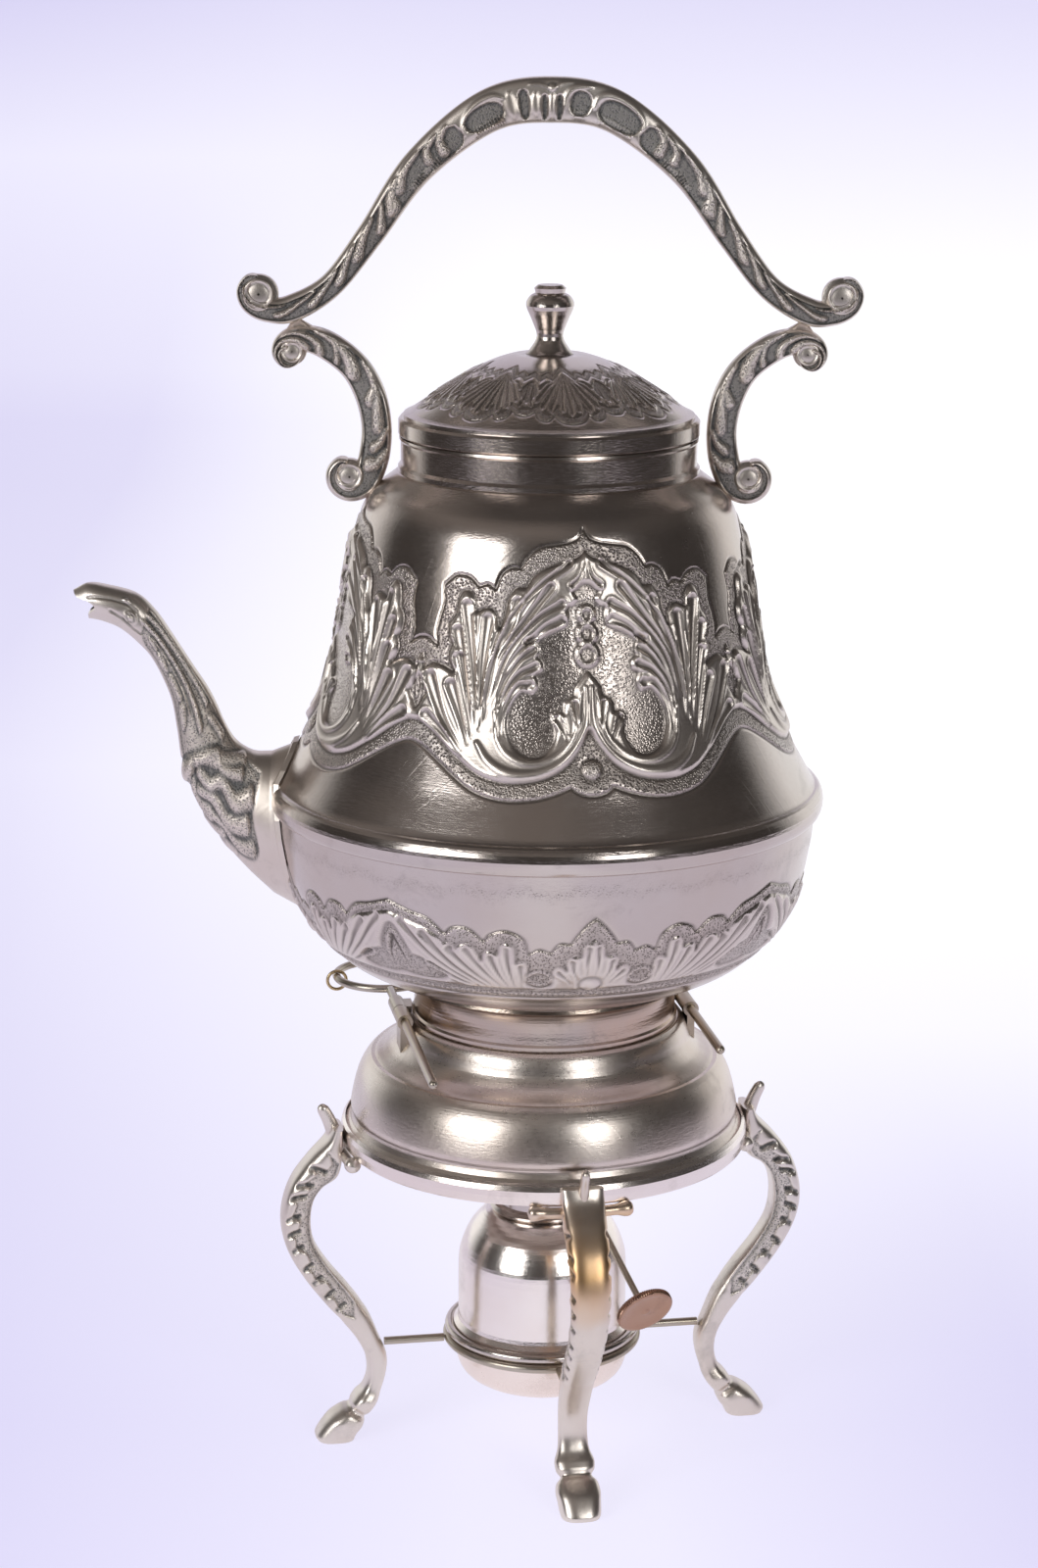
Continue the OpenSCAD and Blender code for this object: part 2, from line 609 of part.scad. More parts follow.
// Lid hinge at the back: two knuckles on the neck, one between them on the lid
hinge_y = neck_r + 0.7 + hinge_knuckle_r + play;
hinge_mid = hinge_len / 3;
module hinge_tube(x0, length) {
    translate([x0, hinge_y, lid_h0]) rotate([0, 90, 0]) difference() {
        cylinder(r = hinge_knuckle_r, h = length, $fn = 48);
        translate([0, 0, -1]) cylinder(r = hinge_pin_r + run, h = length + 2, $fn = 48);
    }
}
module neck_room() {
    translate([0, 0, neck_h0 - 1]) cylinder(r = neck_r + 0.05, h = neck_h);
    translate([0, 0, neck_h0 + neck_h - 1.3]) cylinder(r = neck_r + 0.5, h = 8);
}
module body_hinge_leaf() {
    color(nickel) on_kettle() for (s = [-1, 1]) {
        x0 = s < 0 ? -hinge_len / 2 : hinge_mid / 2 + play / 2;
        hinge_tube(x0, hinge_len / 2 - hinge_mid / 2 - play / 2);
        difference() {
            translate([x0, neck_r - 3.4, neck_h0 + neck_h - 5])
                cube([hinge_len / 2 - hinge_mid / 2 - play / 2, hinge_y - neck_r + 3.4, 4]);
            neck_room();
            translate([x0 - 1, hinge_y, lid_h0]) rotate([0, 90, 0])
                cylinder(r = hinge_knuckle_r - 0.3, h = hinge_len, $fn = 48);
        }
    }
    color(nickel) on_kettle() difference() {
        translate([-hinge_len / 2, neck_r - 3.4, neck_h0 + neck_h - 5])
            cube([hinge_len, hinge_y - neck_r + 2.4, 2.4]);
        neck_room();
    }
}
module lid_hinge_leaf() {
    color(nickel) on_kettle() {
        hinge_tube(-hinge_mid / 2 + play / 2, hinge_mid - play);
        difference() {
            translate([-hinge_mid / 2 + play / 2, neck_r - 2, lid_h0 + 0.4])
                cube([hinge_mid - play, hinge_y - neck_r + 2, 1.8]);
            translate([0, 0, neck_h0 - 1]) cylinder(r = lid_r, h = 40);
            translate([-20, hinge_y, lid_h0]) rotate([0, 90, 0])
                cylinder(r = hinge_knuckle_r - 0.3, h = 40, $fn = 48);
        }
    }
}
module hinge_pin() {
    color(brass) on_kettle() translate([-hinge_len / 2 - 0.8, hinge_y, lid_h0]) rotate([0, 90, 0]) {
        cylinder(r = hinge_pin_r, h = hinge_len + 1.6, $fn = 32);
        cylinder(r = hinge_pin_r + 0.4, h = 0.7, $fn = 32);
        translate([0, 0, hinge_len + 0.9]) cylinder(r = hinge_pin_r + 0.4, h = 0.7, $fn = 32);
    }
}

// Lid: band, dome and the lip that drops into the neck
lid_r = neck_r + 0.6;
lid_lip_r = neck_r - wall - 0.5;
module lid_band() {
    color(silver) on_kettle() rotate_extrude() polygon([
        [lid_lip_r - wall, lid_h0 - lid_lip], [lid_lip_r, lid_h0 - lid_lip], [lid_lip_r, lid_h0],
        [lid_r - 0.4, lid_h0], [lid_r, lid_h0 + 0.5], [lid_r, lid_h0 + lid_band_h - 0.7],
        [lid_r - 0.6, dome_h0], [lid_lip_r - wall, dome_h0]
    ]);
}
dome_top_r = 7;
dome_line = concat(
    [[lid_r - 1.4, dome_h0], [lid_r - 1.4, dome_h0 + 0.9]],
    smooth([
        [lid_r - 2.8, dome_h0 + 1.5], [lid_r - 13, dome_h0 + dome_h * 0.5], [lid_r - 22, dome_h0 + dome_h * 0.83],
        [dome_top_r + 3.4, dome_h0 + dome_h - 0.3], [dome_top_r, dome_h0 + dome_h]
    ], 4),
    [[stud_r + run, dome_h0 + dome_h]]
);
module lid_dome() {
    color(silver) on_kettle() {
        spun(dome_line);
        lid_leaves();
    }
}

// A band of leaves: angle from a lobe's middle, distance from the dome's foot towards the finial
lid_leaf_out = [[0, 6.2], [6.6, 9.4], [11, 7.4], [15.4, 10.2], [22.5, 8.8]];
lid_leaf_in = [[0, 22.4], [8, 18.8], [12, 20], [17, 18.6], [22.5, 20.2]];
function lid_ring(marks) = [
    for (k = [0 : 7]) each concat(
        [for (i = [len(marks) - 1 : -1 : 1]) (lid_r - marks[i].y) * [cos(45 * k - marks[i].x), sin(45 * k - marks[i].x)]],
        [for (i = [0 : len(marks) - 2]) (lid_r - marks[i].y) * [cos(45 * k + marks[i].x), sin(45 * k + marks[i].x)]]
    )
];
module lid_leaves() {
    band = [for (p = dome_line) if (p.x < lid_r - 4 && p.x > dome_top_r + 2) p];
    intersection() {
        rotate_extrude() polygon(concat(moved(band, -lid_leaf_rise), back(moved(band, wall / 2))));
        rotate(turn) translate([0, 0, dome_h0]) linear_extrude(dome_h + 5) difference() {
            polygon(lid_ring(lid_leaf_out));
            polygon(lid_ring(lid_leaf_in));
        }
    }
}

finial_z = dome_h0 + dome_h + 0.1;
module finial() {
    color(silver) on_kettle() {
        rotate_extrude() polygon(concat(
            [[0, finial_z]],
            smooth([
                [finial_r, finial_z], [finial_r - 1.2, finial_z + 1.3], [finial_r - 2.8, finial_z + 4.4],
                [finial_r - 1.7, finial_z + 8], [finial_r, finial_z + finial_h * 0.7],
                [finial_r - 0.9, finial_z + finial_h * 0.83], [finial_r - 2.4, finial_z + finial_h - 2]
            ], 4),
            [[finial_r - 2.1, finial_z + finial_h - 0.8], [finial_r - 3, finial_z + finial_h],
                [0, finial_z + finial_h]]
        ));
        translate([0, 0, finial_z - wall - 2.6]) cylinder(r = stud_r, h = wall + 3, $fn = 32);
    }
}
module finial_nut() {
    color(brass) on_kettle() translate([0, 0, finial_z - wall - 2]) difference() {
        cylinder(r = stud_r + 1.9, h = 1.9, $fn = 6);
        translate([0, 0, -1]) cylinder(r = stud_r + run, h = 4, $fn = 32);
    }
}

// Pins with a soldered bow to pull them by
knuckles_back = kettle_knuckle_y + knuckle_len;
bow_y = knuckles_back + pin_back + bow_r;
module pin(side, front) {
    color(nickel) turned() translate([side * pin_off, stand_knuckle_y - front, pin_z]) rotate([-90, 0, 0]) {
        cylinder(r = pin_r, h = knuckles_back + pin_back - stand_knuckle_y + front - pin_r - 0.05, $fn = 32);
        sphere(r = pin_r, $fn = 32);
    }
}
module bow(side) {
    color(nickel) turned() translate([side * pin_off, bow_y, pin_z])
        rotate_extrude() translate([bow_r, 0]) circle(r = pin_r - 0.1, $fn = 32);
}
link_wire_r = 0.45;
module chain_link() {
    hang = link_r - link_wire_r - (pin_r - 0.1) - run;
    color(nickel) turned() translate([-pin_off - bow_r, bow_y, pin_z - hang]) rotate([90, 0, 0])
        rotate_extrude($fn = 48) translate([link_r, 0]) circle(r = link_wire_r, $fn = 16);
}

// Burner: heights above the middle of its bead
burner_edge_r = ring_r - bead_in - burner_bead_r + 0.2;
module burner_bowl() {
    color(copper) on_burner() spun(concat([[0, -burner_drop]], smooth([
        [burner_edge_r - 12.3, -burner_drop + 0.5], [burner_edge_r - 3.4, -burner_drop + 5],
        [burner_edge_r - 0.8, -burner_drop + 9.8], [burner_edge_r, -2.5], [burner_edge_r, 0]
    ], 4)));
}
module burner_shell() {
    color(silver) on_burner() spun(concat(
        [[burner_edge_r, 0], [burner_edge_r, 1.6], [burner_r + 0.2, 2.8]],
        smooth([
            [burner_r, 3.8], [burner_r, burner_h - 16], [burner_r - 0.8, burner_h - 10.8],
            [burner_r - 3.2, burner_h - 5.4], [burner_r - 6.6, burner_h - 1.6], [collar_r + 0.4, burner_h]
        ], 4)
    ));
}
module burner_bead() {
    color(nickel) on_burner() rotate_extrude() difference() {
        translate([ring_r - bead_in, 0]) circle(r = burner_bead_r, $fn = 32);
        translate([0, -5]) square([burner_edge_r + 0.15, 10]);
    }
}
collar_z = burner_h + 0.1;
module burner_collar() {
    color(silver) on_burner() difference() {
        union() {
            rotate_extrude() polygon([
                [collar_r - wall, collar_z], [collar_r + 1.6, collar_z], [collar_r + 2, collar_z + 0.9],
                [collar_r + 1.4, collar_z + 1.8], [collar_r, collar_z + 2.2], [collar_r - 0.4, collar_z + 7],
                [collar_r, collar_z + collar_h - 1], [collar_r, collar_z + collar_h],
                [wick_r + 1, collar_z + collar_h], [wick_r + 1, collar_z + collar_h - wall],
                [collar_r - wall - 0.4, collar_z + collar_h - wall]
            ]);
        }
        knob_bore(knob_gland_r + 0.02);
    }
}

// The knob's shaft slopes down and passes beside the wick
wheel_off = wick_r + wheel_r + 0.3;
knob_z = collar_z + 11.1 - knob_reach * tan(knob_drop);
knob_gland_r = 1.9;
gland_at = sqrt(pow(collar_r, 2) - pow(wheel_off, 2));
module on_shaft(out) {
    rotate(knob_az) translate([out, wheel_off, knob_z + (knob_reach - out) * tan(knob_drop)])
        rotate([0, 90 + knob_drop, 0]) children();
}
module knob_bore(radius) {
    on_shaft(gland_at) translate([0, 0, -4]) cylinder(r = radius, h = 10, $fn = 32);
}
module knob_gland() {
    color(brass) on_burner() on_shaft(gland_at) translate([0, 0, -2.6]) difference() {
        cylinder(r = knob_gland_r, h = 5.6, $fn = 32);
        translate([0, 0, -1]) cylinder(r = shaft_r + run, h = 8, $fn = 32);
    }
}
module knob_disc() {
    color(copper) on_burner() on_shaft(knob_reach) difference() {
        union() {
            cylinder(r = knob_r, h = knob_t, $fn = 96);
            translate([0, 0, -1.2]) cylinder(r = shaft_r + 1, h = 1.4, $fn = 32);
        }
        translate([0, 0, -2]) cylinder(r = shaft_r, h = 3, $fn = 32);
    }
}
module knob_shaft() {
    length = (knob_reach + 3) / cos(knob_drop);
    color(nickel) on_burner() on_shaft(knob_reach) translate([0, 0, 1 - length])
        cylinder(r = shaft_r, h = length, $fn = 32);
}
wheel_t = 1.6;
module feed_wheel() {
    color(brass) on_burner() on_shaft(0) translate([0, 0, -wheel_t / 2]) difference() {
        cylinder(r = wheel_r, h = wheel_t, $fn = 12);
        translate([0, 0, -1]) cylinder(r = shaft_r, h = wheel_t + 2, $fn = 32);
    }
}

// The tube has a window for the wheel
module wick_tube() {
    color(brass) on_burner() difference() {
        translate([0, 0, 6]) cylinder(r = wick_r + 0.9, h = collar_z + collar_h + 1, $fn = 64);
        translate([0, 0, 5]) cylinder(r = wick_r + play, h = collar_z + collar_h + 4, $fn = 64);
        rotate(knob_az) translate([-4, wick_r * 0.4, collar_z + 11.1 - 4.5]) cube([8, wick_r + 2, 9]);
    }
}
module wick() {
    color("ivory") on_burner() translate([0, 0, 2]) cylinder(r = wick_r, h = collar_z + collar_h + 7, $fn = 64);
}

stand_top();
rim_band();
leg(-90);  // leg_front
leg(0);  // leg_right
leg(90);  // leg_back
leg(180);  // leg_left
burner_ring();
spoke(-90);  // spoke_front
spoke(0);  // spoke_right
spoke(90);  // spoke_back
spoke(180);  // spoke_left
stand_knuckle(-1);  // stand_knuckle_left
stand_knuckle(1);  // stand_knuckle_right
upper_body();
seam_bead();
bowl();
foot_ring();
neck_ring();
spout();
spout_flange();
handle_arch();
bracket(-1);  // bracket_left
bracket(1);  // bracket_right
kettle_knuckle(-1);  // kettle_knuckle_left
kettle_knuckle(1);  // kettle_knuckle_right
body_hinge_leaf();
hinge_pin();
lid_dome();
lid_band();
finial();
finial_nut();
lid_hinge_leaf();
pin(-1, left_pin_front);  // left_pin
bow(-1);  // left_bow
chain_link();
pin(1, right_pin_front);  // right_pin
bow(1);  // right_bow
burner_bowl();
burner_shell();
burner_bead();
burner_collar();
knob_gland();
wick_tube();
knob_disc();
knob_shaft();
feed_wheel();
wick();
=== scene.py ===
"""Spirit kettle on its stand: worn silver plate with chased acanthus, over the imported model."""

import json
import math

import bpy
import numpy as np
from mathutils import Matrix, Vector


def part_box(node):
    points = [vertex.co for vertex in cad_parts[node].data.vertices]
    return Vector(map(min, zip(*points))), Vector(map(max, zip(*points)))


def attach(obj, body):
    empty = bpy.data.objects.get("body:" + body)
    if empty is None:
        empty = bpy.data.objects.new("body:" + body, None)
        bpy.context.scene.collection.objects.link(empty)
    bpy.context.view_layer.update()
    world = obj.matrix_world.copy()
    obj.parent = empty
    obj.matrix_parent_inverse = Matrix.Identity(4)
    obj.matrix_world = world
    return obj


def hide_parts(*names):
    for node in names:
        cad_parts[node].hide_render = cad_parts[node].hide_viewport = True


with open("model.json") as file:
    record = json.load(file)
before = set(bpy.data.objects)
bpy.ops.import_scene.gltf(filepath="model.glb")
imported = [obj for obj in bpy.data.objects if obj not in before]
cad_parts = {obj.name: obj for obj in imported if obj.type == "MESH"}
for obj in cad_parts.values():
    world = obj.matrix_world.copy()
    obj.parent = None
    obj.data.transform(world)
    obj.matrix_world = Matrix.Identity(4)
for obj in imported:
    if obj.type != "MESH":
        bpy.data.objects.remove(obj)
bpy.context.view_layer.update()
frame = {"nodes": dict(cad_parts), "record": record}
MM = 0.001


# Sizes and heights in millimetres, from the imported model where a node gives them

def underside(node):
    """The height of a node's lower end."""
    return round(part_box(node)[0].z / MM, 2)


def top_edge(node):
    """The height of a node's upper end."""
    return round(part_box(node)[1].z / MM, 2)


def outer_radius(node):
    """How far a node reaches from the axis."""
    return round(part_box(node)[1].x / MM, 2)


STAND_TURN = 10
FRONT = STAND_TURN - 90
WALL = 1
LEG_H = underside("rim_band")
RIM_R = outer_radius("rim_band")
FOOT_H = 12.6
FOOT = underside("foot_ring") + FOOT_H
SEAM = top_edge("bowl")
NECK = top_edge("upper_body")
DOME = underside("lid_dome")
DOME_TOP = top_edge("lid_dome")
BELLY_R = outer_radius("bowl")
DOME_R = outer_radius("lid_dome")
BEAD_H = 3.9
SCROLL_Z = NECK + 44.6
ROOT_Z = SEAM - 10.4
ROOT_W = 12.4
ROOT_H = 23.4
SPOUT_WALL = 1.1
SPOUT_LIFT = 0.2
LEG_W = 5.4
STRAP_SUNK = 0.95
LEAF_RISE = 0.9
MAP_PITCH = 0.16
MAP_HALF = 5


# Lines and numbers

def smooth_line(marks, steps=8):
    """A curve through the marks, with that many points from one mark to the next."""
    marks = np.array(marks, float)
    if len(marks) < 3:
        return np.array([marks[0] + (marks[-1] - marks[0]) * t for t in np.linspace(0, 1, steps + 1)])
    ends = np.vstack([2 * marks[0] - marks[1], marks, 2 * marks[-1] - marks[-2]])
    t = np.linspace(0, 1, steps, endpoint=False)[:, None]
    parts = []
    for a, b, c, d in zip(ends, ends[1:], ends[2:], ends[3:]):
        parts.append(0.5 * (2 * b + (c - a) * t + (2 * a - 5 * b + 4 * c - d) * t**2
                            + (3 * b - a - 3 * c + d) * t**3))
    return np.vstack(parts + [marks[-1:]])


def lobed_line(lobes, steps=6):
    """Smooth lobes joined at sharp corners."""
    return np.vstack([smooth_line(lobe, steps) for lobe in lobes])


def even_line(line, pitch):
    """The same line with points an even distance apart."""
    far = np.r_[0, np.cumsum(np.hypot(*np.diff(line[:, :2], axis=0).T))]
    at = np.linspace(0, far[-1], max(2, int(far[-1] / pitch) + 1))
    return np.column_stack([np.interp(at, far, column) for column in line.T])


def graded_line(line, low, high, every=5):
    """The line with all its points between two heights, and only some of the others."""
    keep = (line[:, 1] > low) & (line[:, 1] < high) | (np.arange(len(line)) % every == 0)
    keep[-1] = True
    return line[keep]


def plump_round(turn, power):
    """The cosine and sine of the turn, swollen towards a rectangle as the power rises above 2."""
    return [np.sign(w) * np.abs(w) ** (2 / power) for w in (np.cos(turn), np.sin(turn))]


def oval(left, right, low, top):
    """A plump oval outline."""
    x, y = plump_round(np.linspace(0, 2 * math.pi, 28, endpoint=False), 2.6)
    return np.column_stack([(left + right + (right - left) * x) / 2, (low + top + (top - low) * y) / 2])


def ease(x):
    """A soft step from 0 to 1."""
    x = np.clip(x, 0, 1)
    return x * x * (3 - 2 * x)


def bell(far, wide):
    """1 at 0, falling off over that width."""
    return np.exp(-(far / wide) ** 2)


def rubbed(heights, reach, own):
    """Each place averaged with its four neighbours at that reach and with itself, counted `own` times."""
    wide = np.pad(heights, reach, mode="edge")
    middle = slice(reach, -reach)
    less, more = slice(None, -2 * reach), slice(2 * reach, None)
    around = wide[less, middle] + wide[more, middle] + wide[middle, less] + wide[middle, more]
    return (around + own * wide[middle, middle]) / (4 + own)


# Chasing: a height map that leaves, flutes and stems are worked into

class Chasing:
    """Heights in millimetres over a flat patch, with a map of where the ground is stippled."""

    def __init__(self, x_span, y_span, pitch):
        self.x0, self.y0, self.pitch = x_span[0], y_span[0], pitch
        xs = np.arange(x_span[0], x_span[1] + pitch, pitch)
        ys = np.arange(y_span[0], y_span[1] + pitch, pitch)
        self.x, self.y = np.meshgrid(xs, ys)
        self.high = np.zeros(self.x.shape)
        self.stipple = np.zeros(self.x.shape)
        self.deepest = 0

    def window(self, line, reach):
        low, top = line.min(0) - reach, line.max(0) + reach
        i0, i1 = (np.clip([(low[1] - self.y0), (top[1] - self.y0)], 0, None) / self.pitch).astype(int)
        j0, j1 = (np.clip([(low[0] - self.x0), (top[0] - self.x0)], 0, None) / self.pitch).astype(int)
        return slice(i0, i1 + 2), slice(j0, j1 + 2)

    def near(self, line, win):
        """Distance to the line, and how far along it the nearest point is."""
        x, y = self.x[win], self.y[win]
        best = np.full(x.shape, 1e9)
        along = np.zeros(x.shape)
        for i, (p, q) in enumerate(zip(line, line[1:])):
            d = q - p
            t = np.clip(((x - p[0]) * d[0] + (y - p[1]) * d[1]) / max(d @ d, 1e-9), 0, 1)
            far = np.hypot(x - p[0] - t * d[0], y - p[1] - t * d[1])
            closer = far < best
            best[closer] = far[closer]
            along[closer] = ((i + t) / (len(line) - 1))[closer]
        return best, along

    def inside(self, outline):
        """How deep each place lies inside the outline; negative outside it."""
        within = np.zeros(self.x.shape, bool)
        for (xa, ya), (xb, yb) in zip(outline, np.roll(outline, -1, axis=0)):
            if ya != yb:
                crosses = (ya > self.y) != (yb > self.y)
                within ^= crosses & (self.x < (xb - xa) * (self.y - ya) / (yb - ya) + xa)
        ring = np.vstack([outline, outline[:1]])
        far, _ = self.near(ring, (slice(None), slice(None)))
        return np.where(within, far, -far)

    def flute(self, marks, wide, deep, root=0.35, lip=0.26):
        """A hollow that widens from its root to a round end."""
        line = smooth_line(marks, 7)
        win = self.window(line, wide + 1)
        far, along = self.near(line, win)
        half = wide * (root + (1 - root) * along**1.6)
        bowl = np.clip(1 - (far / half) ** 2, 0, 1)
        rim = bell(far - half * 1.15, 0.38) * np.clip(along * 3, 0, 1)
        self.high[win] += -deep * (0.35 + 0.65 * along) * bowl + lip * rim

    def stem(self, marks, wide, tall, thin_ends=True):
        """A raised rounded rib."""
        line = smooth_line(marks, 7)
        win = self.window(line, wide + 1)
        far, along = self.near(line, win)
        half = wide * (1 - 0.55 * np.abs(2 * along - 1) ** 3) if thin_ends else wide
        self.high[win] += tall * np.clip(1 - (far / half) ** 2, 0, 1) ** 0.8

    def lobe(self, marks, wide, top, base, root=0.45):
        """A raised leaf lobe that swells from its root to a round end, standing on the sunk ground."""
        line = smooth_line(marks, 7)
        win = self.window(line, wide + 1)
        far, along = self.near(line, win)
        half = wide * (root + (1 - root) * along)
        swell = np.clip(1 - (far / half) ** 2, 0, 1) ** 0.8
        self.high[win] = np.maximum(self.high[win], base + (top - base) * swell)

    def sink(self, outline, deep, soft=0.5):
        """Sinks the ground inside the outline, and stipples it."""
        inside = ease(self.inside(outline) / soft + 0.5)
        self.high -= deep * inside
        self.stipple = np.maximum(self.stipple, inside)
        self.deepest = max(self.deepest, deep)

    def groove(self, line, wide, deep):
        win = self.window(line, wide * 3)
        far, _ = self.near(line, win)
        self.high[win] -= deep * bell(far, wide)

    def ring(self, x, y, radius, tall, wide=0.6, squash=1.0):
        far = np.hypot(self.x - x, (self.y - y) / squash)
        self.high += tall * bell(far - radius, wide)
        self.high -= 0.25 * tall * bell(far - radius - 2.2 * wide, wide)

    def bead(self, x, y, radius, tall, squash=1.0):
        far = np.hypot(self.x - x, (self.y - y) / squash) / radius
        self.high += tall * np.sqrt(np.clip(1 - far**2, 0, 1))
        self.high -= 0.3 * tall * bell(far - 1.25, 0.18)

    def at(self, x, y, values):
        """The map's value at any place, 0 outside it."""
        fx = (x - self.x0) / self.pitch
        fy = (y - self.y0) / self.pitch
        rows, cols = values.shape
        ok = (fx >= 0) & (fy >= 0) & (fx < cols - 1.001) & (fy < rows - 1.001)
        j, i = np.where(ok, fx, 0).astype(int), np.where(ok, fy, 0).astype(int)
        u, v = np.where(ok, fx, 0) - j, np.where(ok, fy, 0) - i
        low = values[i, j] * (1 - u) + values[i, j + 1] * u
        top = values[i + 1, j] * (1 - u) + values[i + 1, j + 1] * u
        return np.where(ok, low * (1 - v) + top * v, 0)

    def softened(self, times=4):
        """The same map with its sharpest creases rubbed down."""
        for _ in range(times):
            self.high = rubbed(self.high, 1, 2)
        return self

    def hollows(self, passes=5):
        """1 in recesses, 0 on ribs and plain metal."""
        soft = self.high
        for _ in range(passes):
            soft = rubbed(rubbed(soft, 1, 1), 2, 1)
        near = (soft - self.high) * 4.5 + 0.18 * self.stipple
        if self.deepest:
            near = np.maximum(near, -0.75 * self.high / self.deepest)
        return np.clip(near, 0, 1)


def chased_body():
    """Half of the body's heart motif: degrees from its middle, millimetres above the table."""
    work = Chasing((-4, 49), (190, 266), MAP_PITCH)
    edge = lobed_line([
        [(-4, 257), (-1.6, 258), (0, 260.2)],
        [(0, 260.2), (1.6, 258), (4.5, 256.9), (9, 256.3), (13, 255.6), (16, 253.4), (18, 250.6)],
        [(18, 250.6), (20.5, 250.8), (23.2, 249.2), (24.9, 245.3)],
        [(24.9, 245.3), (27, 246.6), (29.6, 245.8)],
        [(29.6, 245.8), (32.5, 248), (36.5, 248.2), (40.2, 245.6)],
        [(40.2, 245.6), (39.7, 241), (40.6, 237.4)],
        [(40.6, 237.4), (41.2, 234), (40.6, 230.6)],
        [(40.6, 230.6), (43, 232), (45, 232.4), (49, 232)],
        [(49, 206), (45, 207), (41, 205.8), (36, 202.8), (31, 199.4), (26, 196.6), (20, 195.2),
         (14, 195.4), (9, 196.6), (4.8, 198.4)],
        [(4.8, 198.4), (3, 197), (0, 196.4), (-4, 197.6)],
    ])
    leaves = lobed_line([
        [(-4, 252.8), (-2, 253.8), (0, 255.4)],
        [(0, 255.4), (2, 253.8), (6, 252.4), (11, 251), (14.5, 249), (16.5, 246.4)],
        [(16.5, 246.4), (19.4, 246), (21.4, 243), (22, 239.6), (23.2, 236.4)],
        [(23.2, 236.4), (24, 239.6), (26.4, 241), (29.8, 240)],
        [(29.8, 240), (30.6, 243.6), (32.6, 245), (35, 243.6), (36, 238.6)],
        [(36, 238.6), (37.6, 236.4), (37.4, 233), (36.2, 231.4)],
        [(36.2, 231.4), (37.2, 229), (36.6, 226.6), (35.2, 225)],
        [(35.2, 225), (38, 226.2), (41, 226.6), (43.2, 225.2)],
        [(43.2, 225.2), (44, 227), (45, 228.6), (49, 224)],
        [(49, 211), (44, 211.6), (40, 210), (36, 207), (31, 203.4), (26, 200.4), (20, 198.9),
         (14, 199.2), (9.5, 200.6), (6, 202.8), (3.2, 206), (0, 211)],
        [(0, 211), (-3, 206.6), (-4, 207)],
    ])
    heart = lobed_line([
        [(-3, 245.2), (0, 246.8), (3, 245.2)],
        [(3, 245.2), (1.9, 243.5), (3.2, 241.8), (4.6, 241.2)],
        [(4.6, 241.2), (4.4, 239.2), (5.6, 237), (8, 235.4), (11.5, 234), (15.6, 233)],
        [(15.6, 233), (13.6, 232.6), (12.4, 231), (12.4, 229.4)],
        [(12.4, 229.4), (11.3, 227.9), (11.3, 226), (12.8, 225)],
        [(12.8, 225), (12.4, 223), (13, 221), (14, 219.6)],
        [(14, 219.6), (15.8, 220.9), (18.2, 219.2), (19.6, 215.6), (19.5, 211.6), (17.8, 207.6), (15, 205.6),
         (12, 205.6), (9.8, 207.8), (8.9, 210.5), (9.2, 213.4)],
        [(9.2, 213.4), (8.4, 215.6), (6.8, 216)],
        [(6.8, 216), (6.4, 218.6), (4, 220)],
        [(4, 220), (3.4, 222.4), (0, 226.6)],
        [(0, 226.6), (-3, 223)],
    ])
    diamond = np.array([(45, 222.6), (42.9, 218.8), (45, 215.2), (47.1, 218.8)])
    band = work.inside(edge)
    leaf = np.minimum(work.inside(leaves), -work.inside(heart))
    leaf = np.minimum(leaf, -work.inside(diamond))
    work.high += 0.22 * ease(band / 0.7) + 0.85 * ease(leaf / 1.5)
    work.stipple = ease(band / 0.5) * (1 - ease(leaf / 0.5 + 0.4))
    work.stipple *= 1 - 0.6 * ease(work.inside(heart) / 0.5 + 0.5)
    work.groove(edge, 0.32, 0.34)
    work.groove(leaves, 0.3, 0.2)
    flutes = [
        ([(26.8, 211), (27.2, 224), (26.2, 238.2)], 1.5), ([(27.8, 212), (29.5, 226), (32.2, 241)], 1.5),
        ([(28.4, 210), (31, 222), (34.4, 234.6)], 1.45), ([(28.8, 209), (31, 218), (33.6, 228.2)], 1.4),
        ([(29.4, 207.6), (32, 214), (35.2, 221.4)], 1.4), ([(31, 206), (37, 214), (41.4, 223)], 1.6),
        ([(31, 204.6), (36, 209.5), (41.4, 213.4)], 1.4),
        ([(26, 212), (24.5, 226), (19.8, 238), (18.6, 242.4)], 1.4),
        ([(25.4, 214), (23, 228), (16, 238.5), (9.6, 246.4)], 1.1),
        ([(24.8, 217), (20.5, 230), (13, 238.6), (6.6, 242.4)], 1.0),
        ([(24, 217), (19.5, 228), (12, 235.8), (6.8, 238.4)], 1.15),
        ([(26, 217), (22, 235), (14, 245.6), (4.5, 252)], 0.9),
        ([(23.4, 211), (22, 221), (18, 228), (14.2, 231)], 1.0),
        ([(22.8, 210), (21, 219.5), (17.5, 225), (13.4, 227.2)], 1.0),
        ([(22, 209), (20.8, 217), (17.8, 222), (14.6, 222.6)], 1.1),
        ([(3.4, 210.5), (3.1, 214), (3.7, 218.2)], 0.85),
        ([(5.4, 209), (6.6, 212), (7.7, 214.4)], 0.95), ([(0.5, 252.4), (1.6, 249), (3.8, 246.8)], 0.7),
        ([(44.2, 216), (43.6, 221), (44.3, 225.6)], 0.7),
    ]
    for marks, wide in flutes:
        work.flute(marks, wide * 1.12, 0.5, lip=0.34)
    work.stem([(0.7, 222), (0.9, 214), (2.8, 208), (7, 203.8), (13, 201.2), (19, 201.2), (24, 203.8),
               (27.2, 208)], 1.3, 0.5)
    work.stem([(2, 221), (2.8, 213.5), (5.2, 208.5), (9, 205), (14.5, 203.6), (19.6, 205.6), (22.4, 210),
               (23.2, 216)], 0.95, 0.45)
